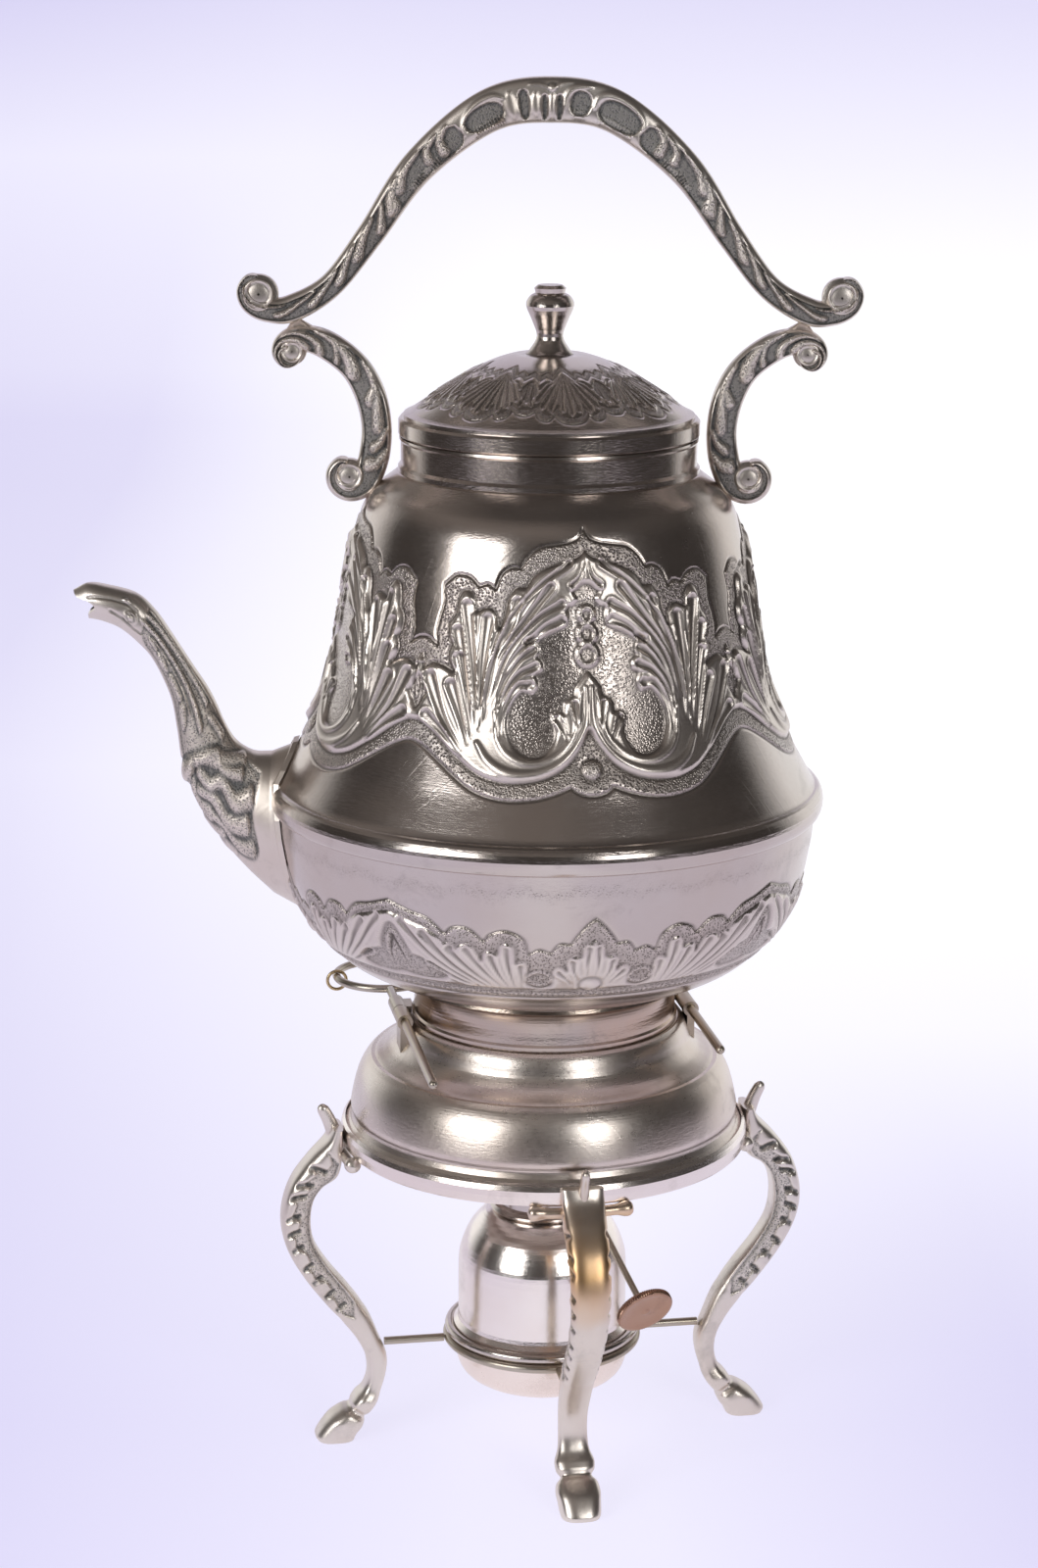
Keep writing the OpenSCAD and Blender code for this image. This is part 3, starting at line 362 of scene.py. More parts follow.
    work.stem([(27.2, 212), (25.2, 228), (18.5, 241.4), (9, 250), (1, 254.6)], 0.6, 0.3)
    for y, radius in ((239.7, 1.7), (235, 2.1), (229.9, 2.4)):
        work.ring(0, y, radius, 0.55)
    work.bead(0, 202.4, 2.1, 0.8)
    return work.softened()


def chased_bowl():
    """Half of the bowl's frieze, in degrees from a small peak and millimetres above the table."""
    work = Chasing((-4, 49), (138, 177), MAP_PITCH)
    edge = lobed_line([
        [(-4, 161.5), (-2, 164.4), (0, 166.6)],
        [(0, 166.6), (2, 164.4), (4, 161.4), (5, 159.5)],
        [(5, 159.5), (7.4, 159.6), (9.2, 157)],
        [(9.2, 157), (11.6, 158), (13.8, 156.6)],
        [(13.8, 156.6), (15, 161), (18.6, 163), (22, 161.8), (23.4, 159.8)],
        [(23.4, 159.8), (26.5, 163), (30, 163), (32, 161)],
        [(32, 161), (35.5, 164.6), (40, 166), (45, 168)],
        [(45, 168), (49, 166.4)],
        [(49, 142.4), (20, 142.4), (-4, 142.4)],
    ])
    leaves = lobed_line([
        [(-3, 157), (-1.5, 160), (0, 161.8)],
        [(0, 161.8), (1.5, 160), (2.8, 156.6)],
        [(2.8, 156.6), (4.4, 156.6), (5.6, 154.6), (5.9, 152.4)],
        [(5.9, 152.4), (7.6, 153), (8.9, 151.4), (9, 149.6)],
        [(9, 149.6), (9.6, 147.2), (12.2, 146.4), (14.4, 148.4), (14, 151.5)],
        [(14, 151.5), (14.6, 154.4), (16.4, 154.6)],
        [(16.4, 154.6), (16.8, 158.6), (18.8, 160), (20.8, 157)],
        [(20.8, 157), (23, 157.6), (24.4, 155)],
        [(24.4, 155), (25.8, 158.4), (28.6, 158.8), (30.4, 157.4)],
        [(30.4, 157.4), (33.5, 160.8), (38, 163), (45, 165.4)],
        [(45, 165.4), (49, 164)],
        [(49, 145.4), (20, 145.4), (-3, 145.4)],
    ])
    heart = lobed_line([
        [(49, 160), (45, 161.6), (42.6, 158), (41, 153.4)],
        [(41, 153.4), (38, 152.4), (35, 150.4), (33.4, 148.6), (36, 147), (41, 146.8), (45, 147.6),
         (49, 147)],
    ])
    band = work.inside(edge)
    leaf = np.minimum(work.inside(leaves), -work.inside(heart))
    work.high += 0.2 * ease(band / 0.7) + 0.6 * ease(leaf / 1.2)
    work.stipple = ease(band / 0.5) * (1 - ease(leaf / 0.5 + 0.4))
    work.groove(edge, 0.32, 0.3)
    flutes = [
        ([(0.9, 150.5), (1.2, 154), (1.0, 158.4)], 0.8), ([(3, 149), (4, 152), (4.4, 154.4)], 0.9),
        ([(4.6, 148), (6, 150), (7.3, 151.4)], 0.9), ([(15.4, 146.6), (15.6, 150), (15.6, 153)], 0.95),
        ([(17.2, 146.8), (18.2, 152), (18.6, 158)], 1.0),
        ([(18.8, 146.8), (20.8, 151), (22.2, 155.6)], 1.0),
        ([(20.6, 146.8), (24.4, 152), (27.4, 157.2)], 1.1),
        ([(22.4, 146.6), (27, 151.4), (31.4, 157)], 1.0),
        ([(24, 146.4), (31, 152.6), (37, 160.6)], 1.15), ([(26, 146.6), (35, 154), (42, 163)], 1.0),
        ([(26, 146.2), (31, 148.4), (36.5, 151.8)], 1.0), ([(43, 149), (43.4, 153), (45, 158)], 0.9),
    ]
    for marks, wide in flutes:
        work.flute(marks, wide, 0.4)
    work.ring(11.7, 149.2, 2.6, 0.3, 0.4, 0.8)
    work.bead(0, 147.6, 2.2, 0.7, 0.85)
    for x in np.arange(1, 49, 1.35):
        work.bead(x, 143.9, 0.5, 0.32)
    stains = bell(work.y - 172.8 - 0.7 * np.sin(work.x * 0.53) - 0.4 * np.sin(work.x * 1.9), 1.2)
    work.stipple = np.maximum(work.stipple, 0.3 * stains)
    return work.softened()


def chased_lid():
    """Half of the lid's leaf band: degrees from a lobe's middle, millimetres out along the dome."""
    work = Chasing((-3, 26), (8, 40), 0.14)
    edge = lobed_line([
        [(-3, 33.9), (0, 34.4), (5, 33.6), (8, 31.6)],
        [(8, 31.6), (11, 33.4), (15, 32.6), (17, 30.4)],
        [(17, 30.4), (20, 31.6), (22.5, 31.8), (26, 31.4)],
        [(26, 17.4), (22.5, 17), (17, 18.6)],
        [(17, 18.6), (12, 17.2), (8, 18.4)],
        [(8, 18.4), (4, 16.2), (0, 14.8), (-3, 15.4)],
    ])
    leaves = lobed_line([
        [(-3, 32.2), (0, 32.8), (4, 32), (6.6, 29.6)],
        [(6.6, 29.6), (10, 31.8), (13.6, 31), (15.4, 28.8)],
        [(15.4, 28.8), (19, 30), (22.5, 30.2), (26, 29.8)],
        [(26, 19.2), (22.5, 18.8), (17, 20.4)],
        [(17, 20.4), (12, 19), (8, 20.2)],
        [(8, 20.2), (4, 18), (0, 16.6), (-3, 17.2)],
    ])
    ground = lobed_line([[(22.5, 27.4), (19, 25.4), (18.4, 23.4), (22.5, 21.4), (26, 23.4), (22.5, 27.4)]])
    band = work.inside(edge)
    leaf = np.minimum(work.inside(leaves), -work.inside(ground))
    work.high += 0.1 * ease(band / 0.6) + 0.28 * ease(leaf / 1.1)
    work.stipple = ease(band / 0.5) * (1 - ease(leaf / 0.5 + 0.4))
    work.groove(edge, 0.28, 0.25)
    flutes = [
        ([(0, 18.5), (0.2, 25), (0, 31)], 1.3), ([(1.4, 19), (3, 25), (4, 30)], 1.1),
        ([(2.4, 19.6), (6, 24.5), (9.6, 30)], 1.2),
        ([(4, 20), (9, 24), (13.6, 29)], 1.1), ([(6, 20.6), (12, 23), (17, 27)], 1.0),
        ([(8, 21), (13, 21.4), (16.4, 23)], 0.9),
        ([(20.5, 20.4), (21, 24), (19.6, 28.6)], 0.8),
    ]
    for marks, wide in flutes:
        work.flute(marks, wide, 0.3, lip=0.12)
    return work.softened(3)


def relief_of_arch():
    """Leaves on the handle: millimetres from the crown, and across it on a scale of -5 to 5."""
    work = Chasing((-153, 153), (-5.5, 5.5), MAP_PITCH)
    deep = STRAP_SUNK
    channel = np.vstack([
        smooth_line([(25.6, 1.6), (29, 2.6), (40, 2.9), (60, 2.8), (80, 2.7), (100, 2.7), (124, 2.4),
                     (140, 1.6)], 5),
        smooth_line([(151, -0.4), (145, -2), (128, -3), (100, -3.5), (70, -3.8), (40, -3.8), (28, -3.6),
                     (25, -1.4)], 5),
    ])
    lobes = [
        ([(27.4, 3), (30.6, 1.4), (31.6, -1.8)], 1.3), ([(30.8, 3), (34.6, 1.8), (36, -0.8)], 1.15),
        ([(37, 3.2), (42.5, 2.5), (46.4, 0.4)], 1.5), ([(45, 3), (49, 1.2), (51.4, -1.6)], 1.95),
        ([(52.4, 2.4), (55, 0.2), (57.4, -2)], 1.35), ([(57, 3), (61.6, 1.8), (66.4, -0.8)], 1.7),
        ([(65, 2.8), (69.6, 1.4), (74, -1.2)], 1.5), ([(73, 2.6), (78, 1), (83, -1.6)], 1.3),
        ([(81, 2.4), (87, 0.6), (92, -1.4)], 1.0), ([(90, 2.2), (97, 1), (104, -0.4)], 0.7),
    ]
    for hand in (-1, 1):
        work.sink(channel * (hand, 1), deep)
        for marks, wide in lobes:
            work.lobe(np.array(marks) * (hand, 1), wide * 1.35, 0.4, -deep, 0.5)
        work.stem(np.array([(98, 1.2), (112, 1.5), (124, 1.5), (134, 0.9)]) * (hand, 1), 0.5, 0.4)
    crown_ovals = [
        (-8.3, -5.9, -3.9, 2.5), (-23.4, -12.8, -3.2, 1.9), (4.9, 9.8, -3.1, 2.2),
        (12.4, 24, -3.5, 2.4), (1.3, 2.6, -4.2, 1.2), (-2.5, -1.2, -4.2, 1.2),
    ]
    for left, right, bottom, crest in crown_ovals:
        work.sink(oval(left, right, bottom, crest), deep, 0.35)
    crown_stems = [
        ([(0.1, 1.4), (0, -1), (0, -3.8)], 0.95, 0.3),
        ([(-4.1, 1.4), (-4.2, -0.8), (-4.1, -3)], 1.35, 0.35),
        ([(-10.4, 2.2), (-10.6, 0), (-10.3, -3)], 1.5, 0.3),
        ([(3.1, -2.6), (3.6, 0.6), (5.4, 2.8), (9.4, 3.7)], 0.95, 0.4),
        ([(11, -0.8), (11.6, 1.6), (14, 3.1), (18.6, 3.2), (22.8, 2), (25.4, -0.4)], 1.0, 0.4),
        ([(-12, 1.6), (-14.4, 2.9), (-18.6, 2.8), (-22.6, 1.2), (-25, -1.8)], 0.75, 0.4),
        ([(0.4, 2.4), (2.4, 3.6), (5.2, 4)], 0.45, 0.3),
        ([(-0.6, 2.6), (-2.8, 3.4), (-5.6, 3.5)], 0.45, 0.3),
    ]
    for marks, wide, tall in crown_stems:
        work.stem(marks, wide, tall)
    work.bead(0.1, 2.7, 0.95, 0.45)
    notched_runs = [
        (-22, -13, 0.85), (6, 9, 0.85), (13.6, 23.6, 0.85), (34, 44, 0.9), (-44, -34, 0.9), (104, 126, 0.9),
        (-126, -104, 0.9),
    ]
    for x in np.concatenate([np.arange(*run) for run in notched_runs]):
        work.stem([(x, -2.1), (x + 0.1, -2.9), (x, -3.8)], 0.34, 0.5, thin_ends=False)
    return work


def relief_of_bracket():
    """Leaves on a bracket: millimetres from its foot, and across it on a scale of -5 to 5."""
    work = Chasing((-19, 88), (-5.5, 5.5), MAP_PITCH)
    deep = STRAP_SUNK
    channel = lobed_line([
        [(-17, -0.4), (-11, 1.6), (-4, 2.6), (3, 3.2), (12, 3.6), (30, 3.6), (50, 3.4), (62, 2.8), (74, 1.6),
         (82, 0.4)],
        [(82, -0.4), (74, -2), (64, -2.8), (50, -3.7), (30, -3.9), (12, -3.9), (3, -3.4), (-6, -2.4),
         (-14, -1.6)],
    ])
    work.sink(channel, deep)
    lobes = [
        ([(9, 3.6), (6.4, 1.4), (5.6, -1)], 1.7), ([(14.6, 3.2), (11.6, 1.2), (10.2, -0.6)], 1.3),
        ([(31, 3.8), (25, 2.6), (19.6, 1), (15.8, 0.6)], 1.7), ([(26, 3.2), (24, 0.8), (22.6, -0.6)], 1.5),
        ([(44, 4), (38, 2.4), (33.4, 0.2), (31.4, -1.6)], 2.0), ([(40.6, 3), (38, 0), (36.6, -2.6)], 0.9),
        ([(52, 3.4), (47.6, 1.8), (43.6, -0.4), (42, -3)], 1.2),
        ([(57, 3), (52.6, 1.2), (48.6, -1), (46.6, -3.2)], 1.3),
        ([(60, 2), (56, 0), (53, -2.6)], 0.9),
    ]
    for marks, wide in lobes:
        work.lobe(marks, wide * 1.4, 0.4, -deep, 0.6)
    return work


def relief_of_spout():
    """Leaves and beak on the spout: millimetres from its root, and round from top to bottom on 0 to 20."""
    work = Chasing((-2, 92), (-2, 22), MAP_PITCH)
    deep = 0.5
    ground = lobed_line([
        [(67, 3.4), (50, 3.2), (36, 2.8), (26, 1.8), (14, 2.4), (5, 4.6)],
        [(5, 4.6), (7, 9), (5, 13), (10, 15.6), (22, 17)],
        [(22, 17), (34, 16.6), (50, 16.4), (62, 16), (66, 12)],
    ])
    work.sink(ground, deep, 0.8)
    work.deepest = 0
    lobes = [
        ([(37, 4.4), (50, 4.6), (66, 5.6)], 1.1, 0.35), ([(34, 8.4), (50, 8), (67, 8.6)], 1.15, 0.35),
        ([(31, 12.6), (26, 8.6), (19, 6.4), (12, 3.2)], 1.8, 0.6),
        ([(29, 11), (24, 7), (20, 7.6), (12, 5.6)], 1.2, 0.9),
        ([(28, 12.4), (23, 11.6), (19, 9), (13, 9.6), (8, 7.6)], 1.5, 0.7),
        ([(26, 14.6), (21, 12.4), (15, 13), (9, 11)], 1.5, 0.6),
        ([(21, 15.4), (16, 14), (11, 14.6), (7, 13.4)], 1.3, 0.5),
        ([(33, 5), (28, 4), (24, 3.6)], 1.3, 0.3), ([(30, 15.4), (25, 16.6), (21, 15.6)], 1.9, 0.6),
        ([(22, 18.8), (18.6, 17.6), (16.4, 15.6)], 1.5, 0.55),
        ([(17, 20.4), (14.6, 18), (12, 16.4)], 1.4, 0.5),
        ([(40, 13.4), (43.4, 12.6)], 1.8, 0.4), ([(46, 12.2), (51.4, 12.6)], 1.6, 0.35),
        ([(54.6, 12.8), (57.4, 12.4)], 1.7, 0.35),
        ([(60, 12), (62.4, 11.4)], 1.1, 0.1), ([(40, 10.4), (50, 10.2), (62, 10.4)], 0.5, -0.1),
    ]
    for marks, wide, top in lobes:
        work.lobe(marks, wide, top, -deep, 0.75)
    work.lobe([(31.6, 21.6), (32.2, 17), (31.4, 14.6)], 2.3, 1.5, -deep, 1)
    work.groove(smooth_line([(34.2, 21.5), (34.4, 17), (32.6, 13.4)]), 0.4, 0.5)
    work.groove(smooth_line([(28.8, 21.5), (28.8, 17.6), (29.4, 14.6)]), 0.4, 0.5)
    work.groove(smooth_line([(23.4, 21.5), (23.6, 19)]), 0.5, 0.5)
    work.groove(smooth_line([(20, 21.5), (18.4, 19)]), 0.5, 0.4)
    work.ring(70.4, 10.4, 1.5, 0.35, 0.4)
    work.bead(70.4, 10.4, 0.95, 0.55)
    work.bead(73, 6, 0.9, 0.4)
    work.groove(smooth_line([(66, 12.4), (69, 13), (73, 12), (76, 11)]), 0.45, 0.35)
    work.groove(smooth_line([(70, 7.4), (76, 7), (82, 8)]), 0.5, 0.3)
    return work


def relief_of_leg():
    """Stepped leaf on a leg's sides: millimetres from its top, and across it from inner to outer face."""
    work = Chasing((-1, 126), (-5.5, 5.5), MAP_PITCH)
    steps = [7, 12, 17.4, 21, 27, 31.4, 36, 42, 46.6, 52, 57]
    edge = [(7, 3)]
    for k, (a, b) in enumerate(zip(steps, steps[1:])):
        low = (-0.6, 1.4)[k % 2]
        edge += [(a + 0.5, low + 1.6), ((a + b) / 2 - 0.6, low - 0.5), (b - 0.5, low + 0.2)]
    recess = np.array(edge + [(60, 2.4), (62, 0), (58, -3.4), (40, -4.2), (20, -4.2), (8, -3.4)])
    work.sink(recess, 0.45, 0.8)
    work.deepest = 0
    for a in steps[1:]:
        work.groove(smooth_line([(a, -0.5), (a + 0.2, 1.4), (a + 0.8, 3)]), 0.75, 0.95)
    return work


# Meshes

def mesh_piece(name, points, faces, hollow, stipple, highlit_relief, sharp, body):
    """A smooth-shaded piece from points in millimetres, with its recesses stored for the material."""
    mesh = bpy.data.meshes.new(name)
    mesh.from_pydata((np.asarray(points) * MM).tolist(), [], np.asarray(faces).tolist())
    for label, values in (("hollow", hollow), ("stipple", stipple), ("highlit_relief", highlit_relief)):
        data = mesh.attributes.new(label, "FLOAT", "POINT")
        values = np.zeros(len(points)) if values is None else np.asarray(values, float).ravel()
        data.data.foreach_set("value", values)
    mesh.polygons.foreach_set("use_smooth", np.ones(len(mesh.polygons), bool))
    mesh.validate()
    mesh.set_sharp_from_angle(angle=math.radians(sharp))
    piece = bpy.data.objects.new(name, mesh)
    bpy.context.collection.objects.link(piece)
    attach(piece, body)
    return piece


def grid_faces(rows, columns, wrap_rows=False):
    """Quads over a grid of points stored row by row, closed round each row."""
    i = np.arange(rows if wrap_rows else rows - 1)[:, None]
    j = np.arange(columns)[None, :]
    i2, j2 = (i + 1) % rows, (j + 1) % columns
    corners = (i * columns + j, i * columns + j2, i2 * columns + j2, i2 * columns + j)
    return np.stack(np.broadcast_arrays(*corners), -1).reshape(-1, 4)


def spun_sheet(name, outer, node, body, chasing, repeat=90, columns=960, level="height"):
    """A spun sheet with chased relief on its outside; outer runs upward as (radius, height)."""
    outer = np.array(outer, float)
    run = np.gradient(outer, axis=0)
    run /= np.hypot(run[:, 0], run[:, 1])[:, None]
    out = np.column_stack([run[:, 1], -run[:, 0]])
    angle = np.arange(columns) * 360 / columns
    fold = np.abs((angle - FRONT + repeat / 2) % repeat - repeat / 2)
    x, y = np.meshgrid(fold, outer[:, 1] if level == "height" else outer[:, 0])
    rise = chasing.at(x, y, chasing.high)
    hollow = chasing.at(x, y, chasing.hollows())
    stipple = chasing.at(x, y, chasing.stipple)
    radius = outer[:, :1] + rise * out[:, :1]
    height = outer[:, 1:] + rise * out[:, 1:]
    keep = np.unique(np.linspace(0, len(outer) - 1, 24).astype(int))[::-1]
    inner = outer[keep] - WALL * out[keep]
    inner[0, 1], inner[-1, 1] = outer[-1, 1], outer[0, 1]
    radius = np.vstack([radius, np.repeat(inner[:, :1], columns, 1)])
    height = np.vstack([height, np.repeat(inner[:, 1:], columns, 1)])
    pad = np.zeros((len(inner), columns))
    turn = np.radians(angle)[None, :]
    points = np.stack([radius * np.cos(turn), radius * np.sin(turn), height], -1).reshape(-1, 3)
    faces = grid_faces(len(radius), columns, wrap_rows=True)
    # Where the relief stands up: the material paints a highlight there and makes it a little rougher.
    highlit_relief = ease(rise / LEAF_RISE - 0.2)
    hollow, stipple, highlit_relief = (np.vstack([values, pad]) for values in (hollow, stipple, highlit_relief))
    piece = mesh_piece(name, points, faces, hollow, stipple, highlit_relief, 40, body)
    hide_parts(node)
    piece.data.materials.append(chased_silver)


# Cast pieces: bands, scrolls and tubes with reliefs pressed into them

def lengths(line):
    return np.r_[0, np.cumsum(np.sqrt((np.diff(line, axis=0) ** 2).sum(1)))]


def section(half, depth, count, power):
    """A rounded section's points, evenly spaced, as shares of its half width and half depth."""
    u, v = plump_round(np.linspace(0, 2 * math.pi, 1441), power)
    far = lengths(np.column_stack([u * half, v * depth]))
    at = np.linspace(0, far[-1], count, endpoint=False)
    return np.interp(at, far, u), np.interp(at, far, v)


def rounded_ends(along, reach):
    """1 along the length, falling to almost nothing at both ends as a round nose does."""
    near = np.clip(np.minimum(along, along[-1] - along) / reach, 0, 1)
    return np.sqrt(np.clip(1 - (1 - near) ** 2, 0.0004, 1))[:, None]


class Cast:
    """Grids of points collected into one piece."""

    def __init__(self):
        self.points, self.faces, self.hollow, self.stipple = [], [], [], []
        self.count = 0

    def grid(self, points, hollow, stipple, **wraps):
        rows, columns = points.shape[:2]
        self.faces.append(grid_faces(rows, columns, **wraps) + self.count)
        self.points.append(points.reshape(-1, 3))
        self.hollow.append(np.broadcast_to(hollow, (rows, columns)).ravel())
        self.stipple.append(np.broadcast_to(stipple, (rows, columns)).ravel())
        self.count += rows * columns

    def band(self, line, depth, relief, measure, hand=1, columns=96):
        """A band in the handle's plane; line runs as (x, z, half width), both its sides carry the relief."""
        along = lengths(line[:, :2])
        run = np.gradient(line[:, :2], axis=0)
        run /= np.hypot(*run.T)[:, None]
        u, v = section(4.6, depth, columns, 3)
        nose = rounded_ends(along, 1.2)
        across, far = np.meshgrid(u * MAP_HALF * hand, measure(along))
        high = relief.at(far, across, relief.high)
        half = line[:, 2:] * nose * u
        deep = (v * depth + np.sign(v) * np.abs(v) ** 0.5 * high) * nose
        points = np.stack([line[:, :1] - run[:, 1:] * half, deep, line[:, 1:2] + run[:, :1] * half], -1)
        self.grid(points, relief.at(far, across, relief.hollows()), relief.at(far, across, relief.stipple))

    def scroll(self, centre, radius, depth, start, hand, eye):
        """A round end with a rim that curls inwards; start is the angle where the rim arrives, in degrees."""
        u, v = section(radius, depth, 96, 3.4)
        order = np.argsort(-v)
        keep = order[u[order] > 0.01]
        r, side = u[keep] * radius, v[keep]
        turn = np.radians(np.arange(0, 360, 3.75))
        gone = ((np.degrees(turn) - start) * hand) % 360
        r, gone = np.meshgrid(r, gone, indexing="ij")
        side = side[:, None]
        rim = np.zeros_like(r)
        for lap in (-1, 0, 1):
            far = gone + 360 * lap
            ridge = radius * 0.82 - (radius * 0.82 - eye) * np.clip(far, 0, 400) / 400
            fade = ease((far + 60) / 40) * ease((430 - far) / 40)
            rim = np.maximum(rim, fade * bell(r - ridge, 0.62))
        knob = np.sqrt(np.clip(1 - (r / eye) ** 2, 0, 1))
        high = -0.85 + 0.85 * np.maximum(rim, 0.6 * knob)
        high = high * ease((radius - r) / 0.5)
        deep = side * depth + np.sign(side) * np.abs(side) ** 0.5 * high
        points = np.stack([centre[0] + r * np.cos(turn), np.broadcast_to(deep, r.shape),
                           centre[1] + r * np.sin(turn)], -1)
        self.grid(points, np.clip(-high - 0.25, 0, 1), 0.6 * (high < -0.6))

    def rod(self, line, radius, squash=(1, 1), columns=28):
        """A rod with round ends along points in space; radius may change along it."""
        line = np.array(line, float)
        along = lengths(line)
        run = np.gradient(line, axis=0)
        run /= np.sqrt((run**2).sum(1))[:, None]
        side = np.cross(run, (0, 0, 1))
        side /= np.sqrt((side**2).sum(1))[:, None]
        top = np.cross(side, run)
        nose = rounded_ends(along, np.mean(radius)) * np.reshape(radius, (-1, 1))
        turn = np.linspace(0, 2 * math.pi, columns, endpoint=False)
        points = (line[:, None] + (nose * np.cos(turn) * squash[0])[..., None] * side[:, None]
                  + (nose * np.sin(turn) * squash[1])[..., None] * top[:, None])
        self.grid(points, 0, 0)

    def piece(self, name, node, body, material, turned=0, sharp=60, slot="cast_silver"):
        points = np.vstack(self.points)
        if turned:
            c, s = math.cos(math.radians(turned)), math.sin(math.radians(turned))
            points = points @ np.array([[c, s, 0], [-s, c, 0], [0, 0, 1]])
        made = mesh_piece(name, points, np.vstack(self.faces), np.concatenate(self.hollow),
                          np.concatenate(self.stipple), None, sharp, body)
        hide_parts(node)
        made.data.materials.append(material)


# Materials

class Wire:
    """One output of a material's node, so that values can be worked out in plain expressions."""

    def __init__(self, paint, out):
        self.paint = paint
        self.out = out

    def maths(self, operation, *values):
        return self.paint.node("Math", {"operation": operation}, *values)

    def __add__(self, other):
        return self.maths("ADD", self, other)

    __radd__ = __add__

    def __sub__(self, other):
        return self.maths("SUBTRACT", self, other)

    def __rsub__(self, other):
        return self.maths("SUBTRACT", other, self)

    def __mul__(self, other):
        return self.maths("MULTIPLY", self, other)

    __rmul__ = __mul__

    def __truediv__(self, other):
        return self.maths("DIVIDE", self, other)

    def __pow__(self, other):
        return self.maths("POWER", self, other)

    def held(self):
        """The value kept between 0 and 1."""
        return self.paint.node("Math", {"operation": "ADD", "use_clamp": True}, self, 0)

    def step(self, low, high):
        """0 below low, 1 above high, with a soft ramp between."""
        return ((self - low) / (high - low)).held()


class Paint:
    """A material, or another node tree, that is written as expressions."""

    def __init__(self, name, tree=None, **plain):
        if tree is None:
            self.material = bpy.data.materials.new(name)
            self.material.use_nodes = True
            tree = self.material.node_tree
            self.shader = tree.nodes["Principled BSDF"]
            for socket, value in plain.items():
                self.shader.inputs[socket.replace("_", " ")].default_value = value
        self.tree = tree

    def node(self, kind, settings, *values, out=0, **named):
        made = self.tree.nodes.new("ShaderNode" + kind)
        for key, value in settings.items():
            setattr(made, key, value)
        for socket, value in list(enumerate(values)) + list(named.items()):
            self.feed(made.inputs[socket], value)
        return Wire(self, made.outputs[out])

    def feed(self, socket, value):
        if isinstance(value, Wire):
            self.tree.links.new(value.out, socket)
        elif value is not None:
            socket.default_value = value

    def mix(self, share, first, second):
        """A colour between two others."""
        made = self.tree.nodes.new("ShaderNodeMix")
        made.data_type = "RGBA"
        for socket, value in ((0, share), (6, first), (7, second)):
            self.feed(made.inputs[socket], value)
        return Wire(self, made.outputs[2])

    def place(self):
        return self.node("TexCoord", {}, out=3)

    def axes(self, vector):
        """A vector's x, y and z."""
        return [self.node("SeparateXYZ", {}, vector, out=k) for k in range(3)]

    def noise(self, scale, detail=3, rough=0.55, vector=None, twist=0):
        return self.node("TexNoise", {}, Vector=vector or self.place(), Scale=scale, Detail=detail,
                         Roughness=rough, Distortion=twist)

    def cells(self, scale):
        return self.node("TexVoronoi", {"feature": "F1"}, Vector=self.place(), Scale=scale)

    def stored(self, name):
        return self.node("Attribute", {"attribute_name": name}, out=2)

    def set(self, **links):
        for socket, value in links.items():
            self.feed(self.shader.inputs[socket.replace("_", " ")], value)

    def bump(self, height, distance, strength=1.0):
        return self.node("Bump", {}, Height=height, Distance=distance, Strength=strength)


def round_place(paint, turns):
    """Coordinates that run round the pot and up it: x is the turn, y the height, z the radius."""
    x, y, z = paint.axes(paint.place())
    turn = paint.node("Math", {"operation": "ARCTAN2"}, y, x)
    return paint.node("CombineXYZ", {}, turn * turns, z, (x * x + y * y) ** 0.5)


def plated(name, bright, warm, dark, rough, chased=False, spun=True, tarnish=0.3, golden_band=None):
    """Worn silver plate: warm clouds, spinning lines, fine scratches and dark metal left in the recesses;
    chased plate also gets a painted highlight on its raised relief, and a golden-brown band between two
    heights can be mixed in.
    """
    paint = Paint(name, Metallic=1.0)
    clouds = paint.noise(22, 4, 0.6)
    blots = paint.noise(75, 5, 0.7, twist=0.4)
    grain = paint.noise(900, 2, 0.6)
    shade = paint.mix((clouds.step(0.35, 0.7) * tarnish).held(), bright, warm)
    shade = paint.mix((blots.step(0.56, 0.75) * tarnish * 0.5).held(), shade, dark)
    rough_value = rough + (clouds - 0.5) * 0.1 + blots.step(0.5, 0.8) * 0.08
    # A golden-brown band mixed into the colour between two heights, its edges ragged with the clouds.
    if golden_band:
        height_above = paint.axes(paint.place())[2] + (clouds - 0.5) * 0.03
        glow = height_above.step(golden_band[0], golden_band[0] + 0.016) * (1 - height_above.step(golden_band[1], golden_band[1] + 0.012))
        shade = paint.mix((glow * 0.9).held(), shade, GOLDEN_BROWN)
    height = grain * 0.12
    if spun:
        lines = paint.noise(2600, 2, 0.5, vector=round_place(paint, 0.012))
        height = height + lines * 0.35
        rough_value = rough_value + (lines - 0.5) * 0.12
    slanted = paint.node("Mapping", {}, paint.place(), Rotation=(0.3, 0.5, 0.9), Scale=(1.0, 22.0, 1.0))
    scratch = paint.noise(60, 2, 0.4, vector=slanted)
    height = height + scratch.step(0.64, 0.68) * 0.08
    if chased:
        # Painted highlight: raised relief is mixed towards a bright warm tone where its leaves would catch
        # the light, and made a little rougher.
        highlit_relief = paint.stored("highlit_relief")
        shade = paint.mix((highlit_relief * 0.6).held(), shade, PAINTED_RELIEF_HIGHLIGHT)
        rough_value = rough_value + highlit_relief * 0.12
        recess = paint.stored("hollow")
        dots = paint.stored("stipple")
        pits = paint.cells(1700)
        shade = paint.mix((recess * 0.85).held(), shade, dark)
        shade = paint.mix((dots * (1 - pits.step(0.15, 0.45)) * 0.8).held(), shade, dark)
        rough_value = rough_value + recess * 0.2 + dots * 0.1
        height = height + dots * pits.step(0.05, 0.6) * 2.2
    paint.set(Base_Color=shade, Roughness=rough_value.held(), Normal=paint.bump(height, 0.00012, 0.6))
    return paint.material
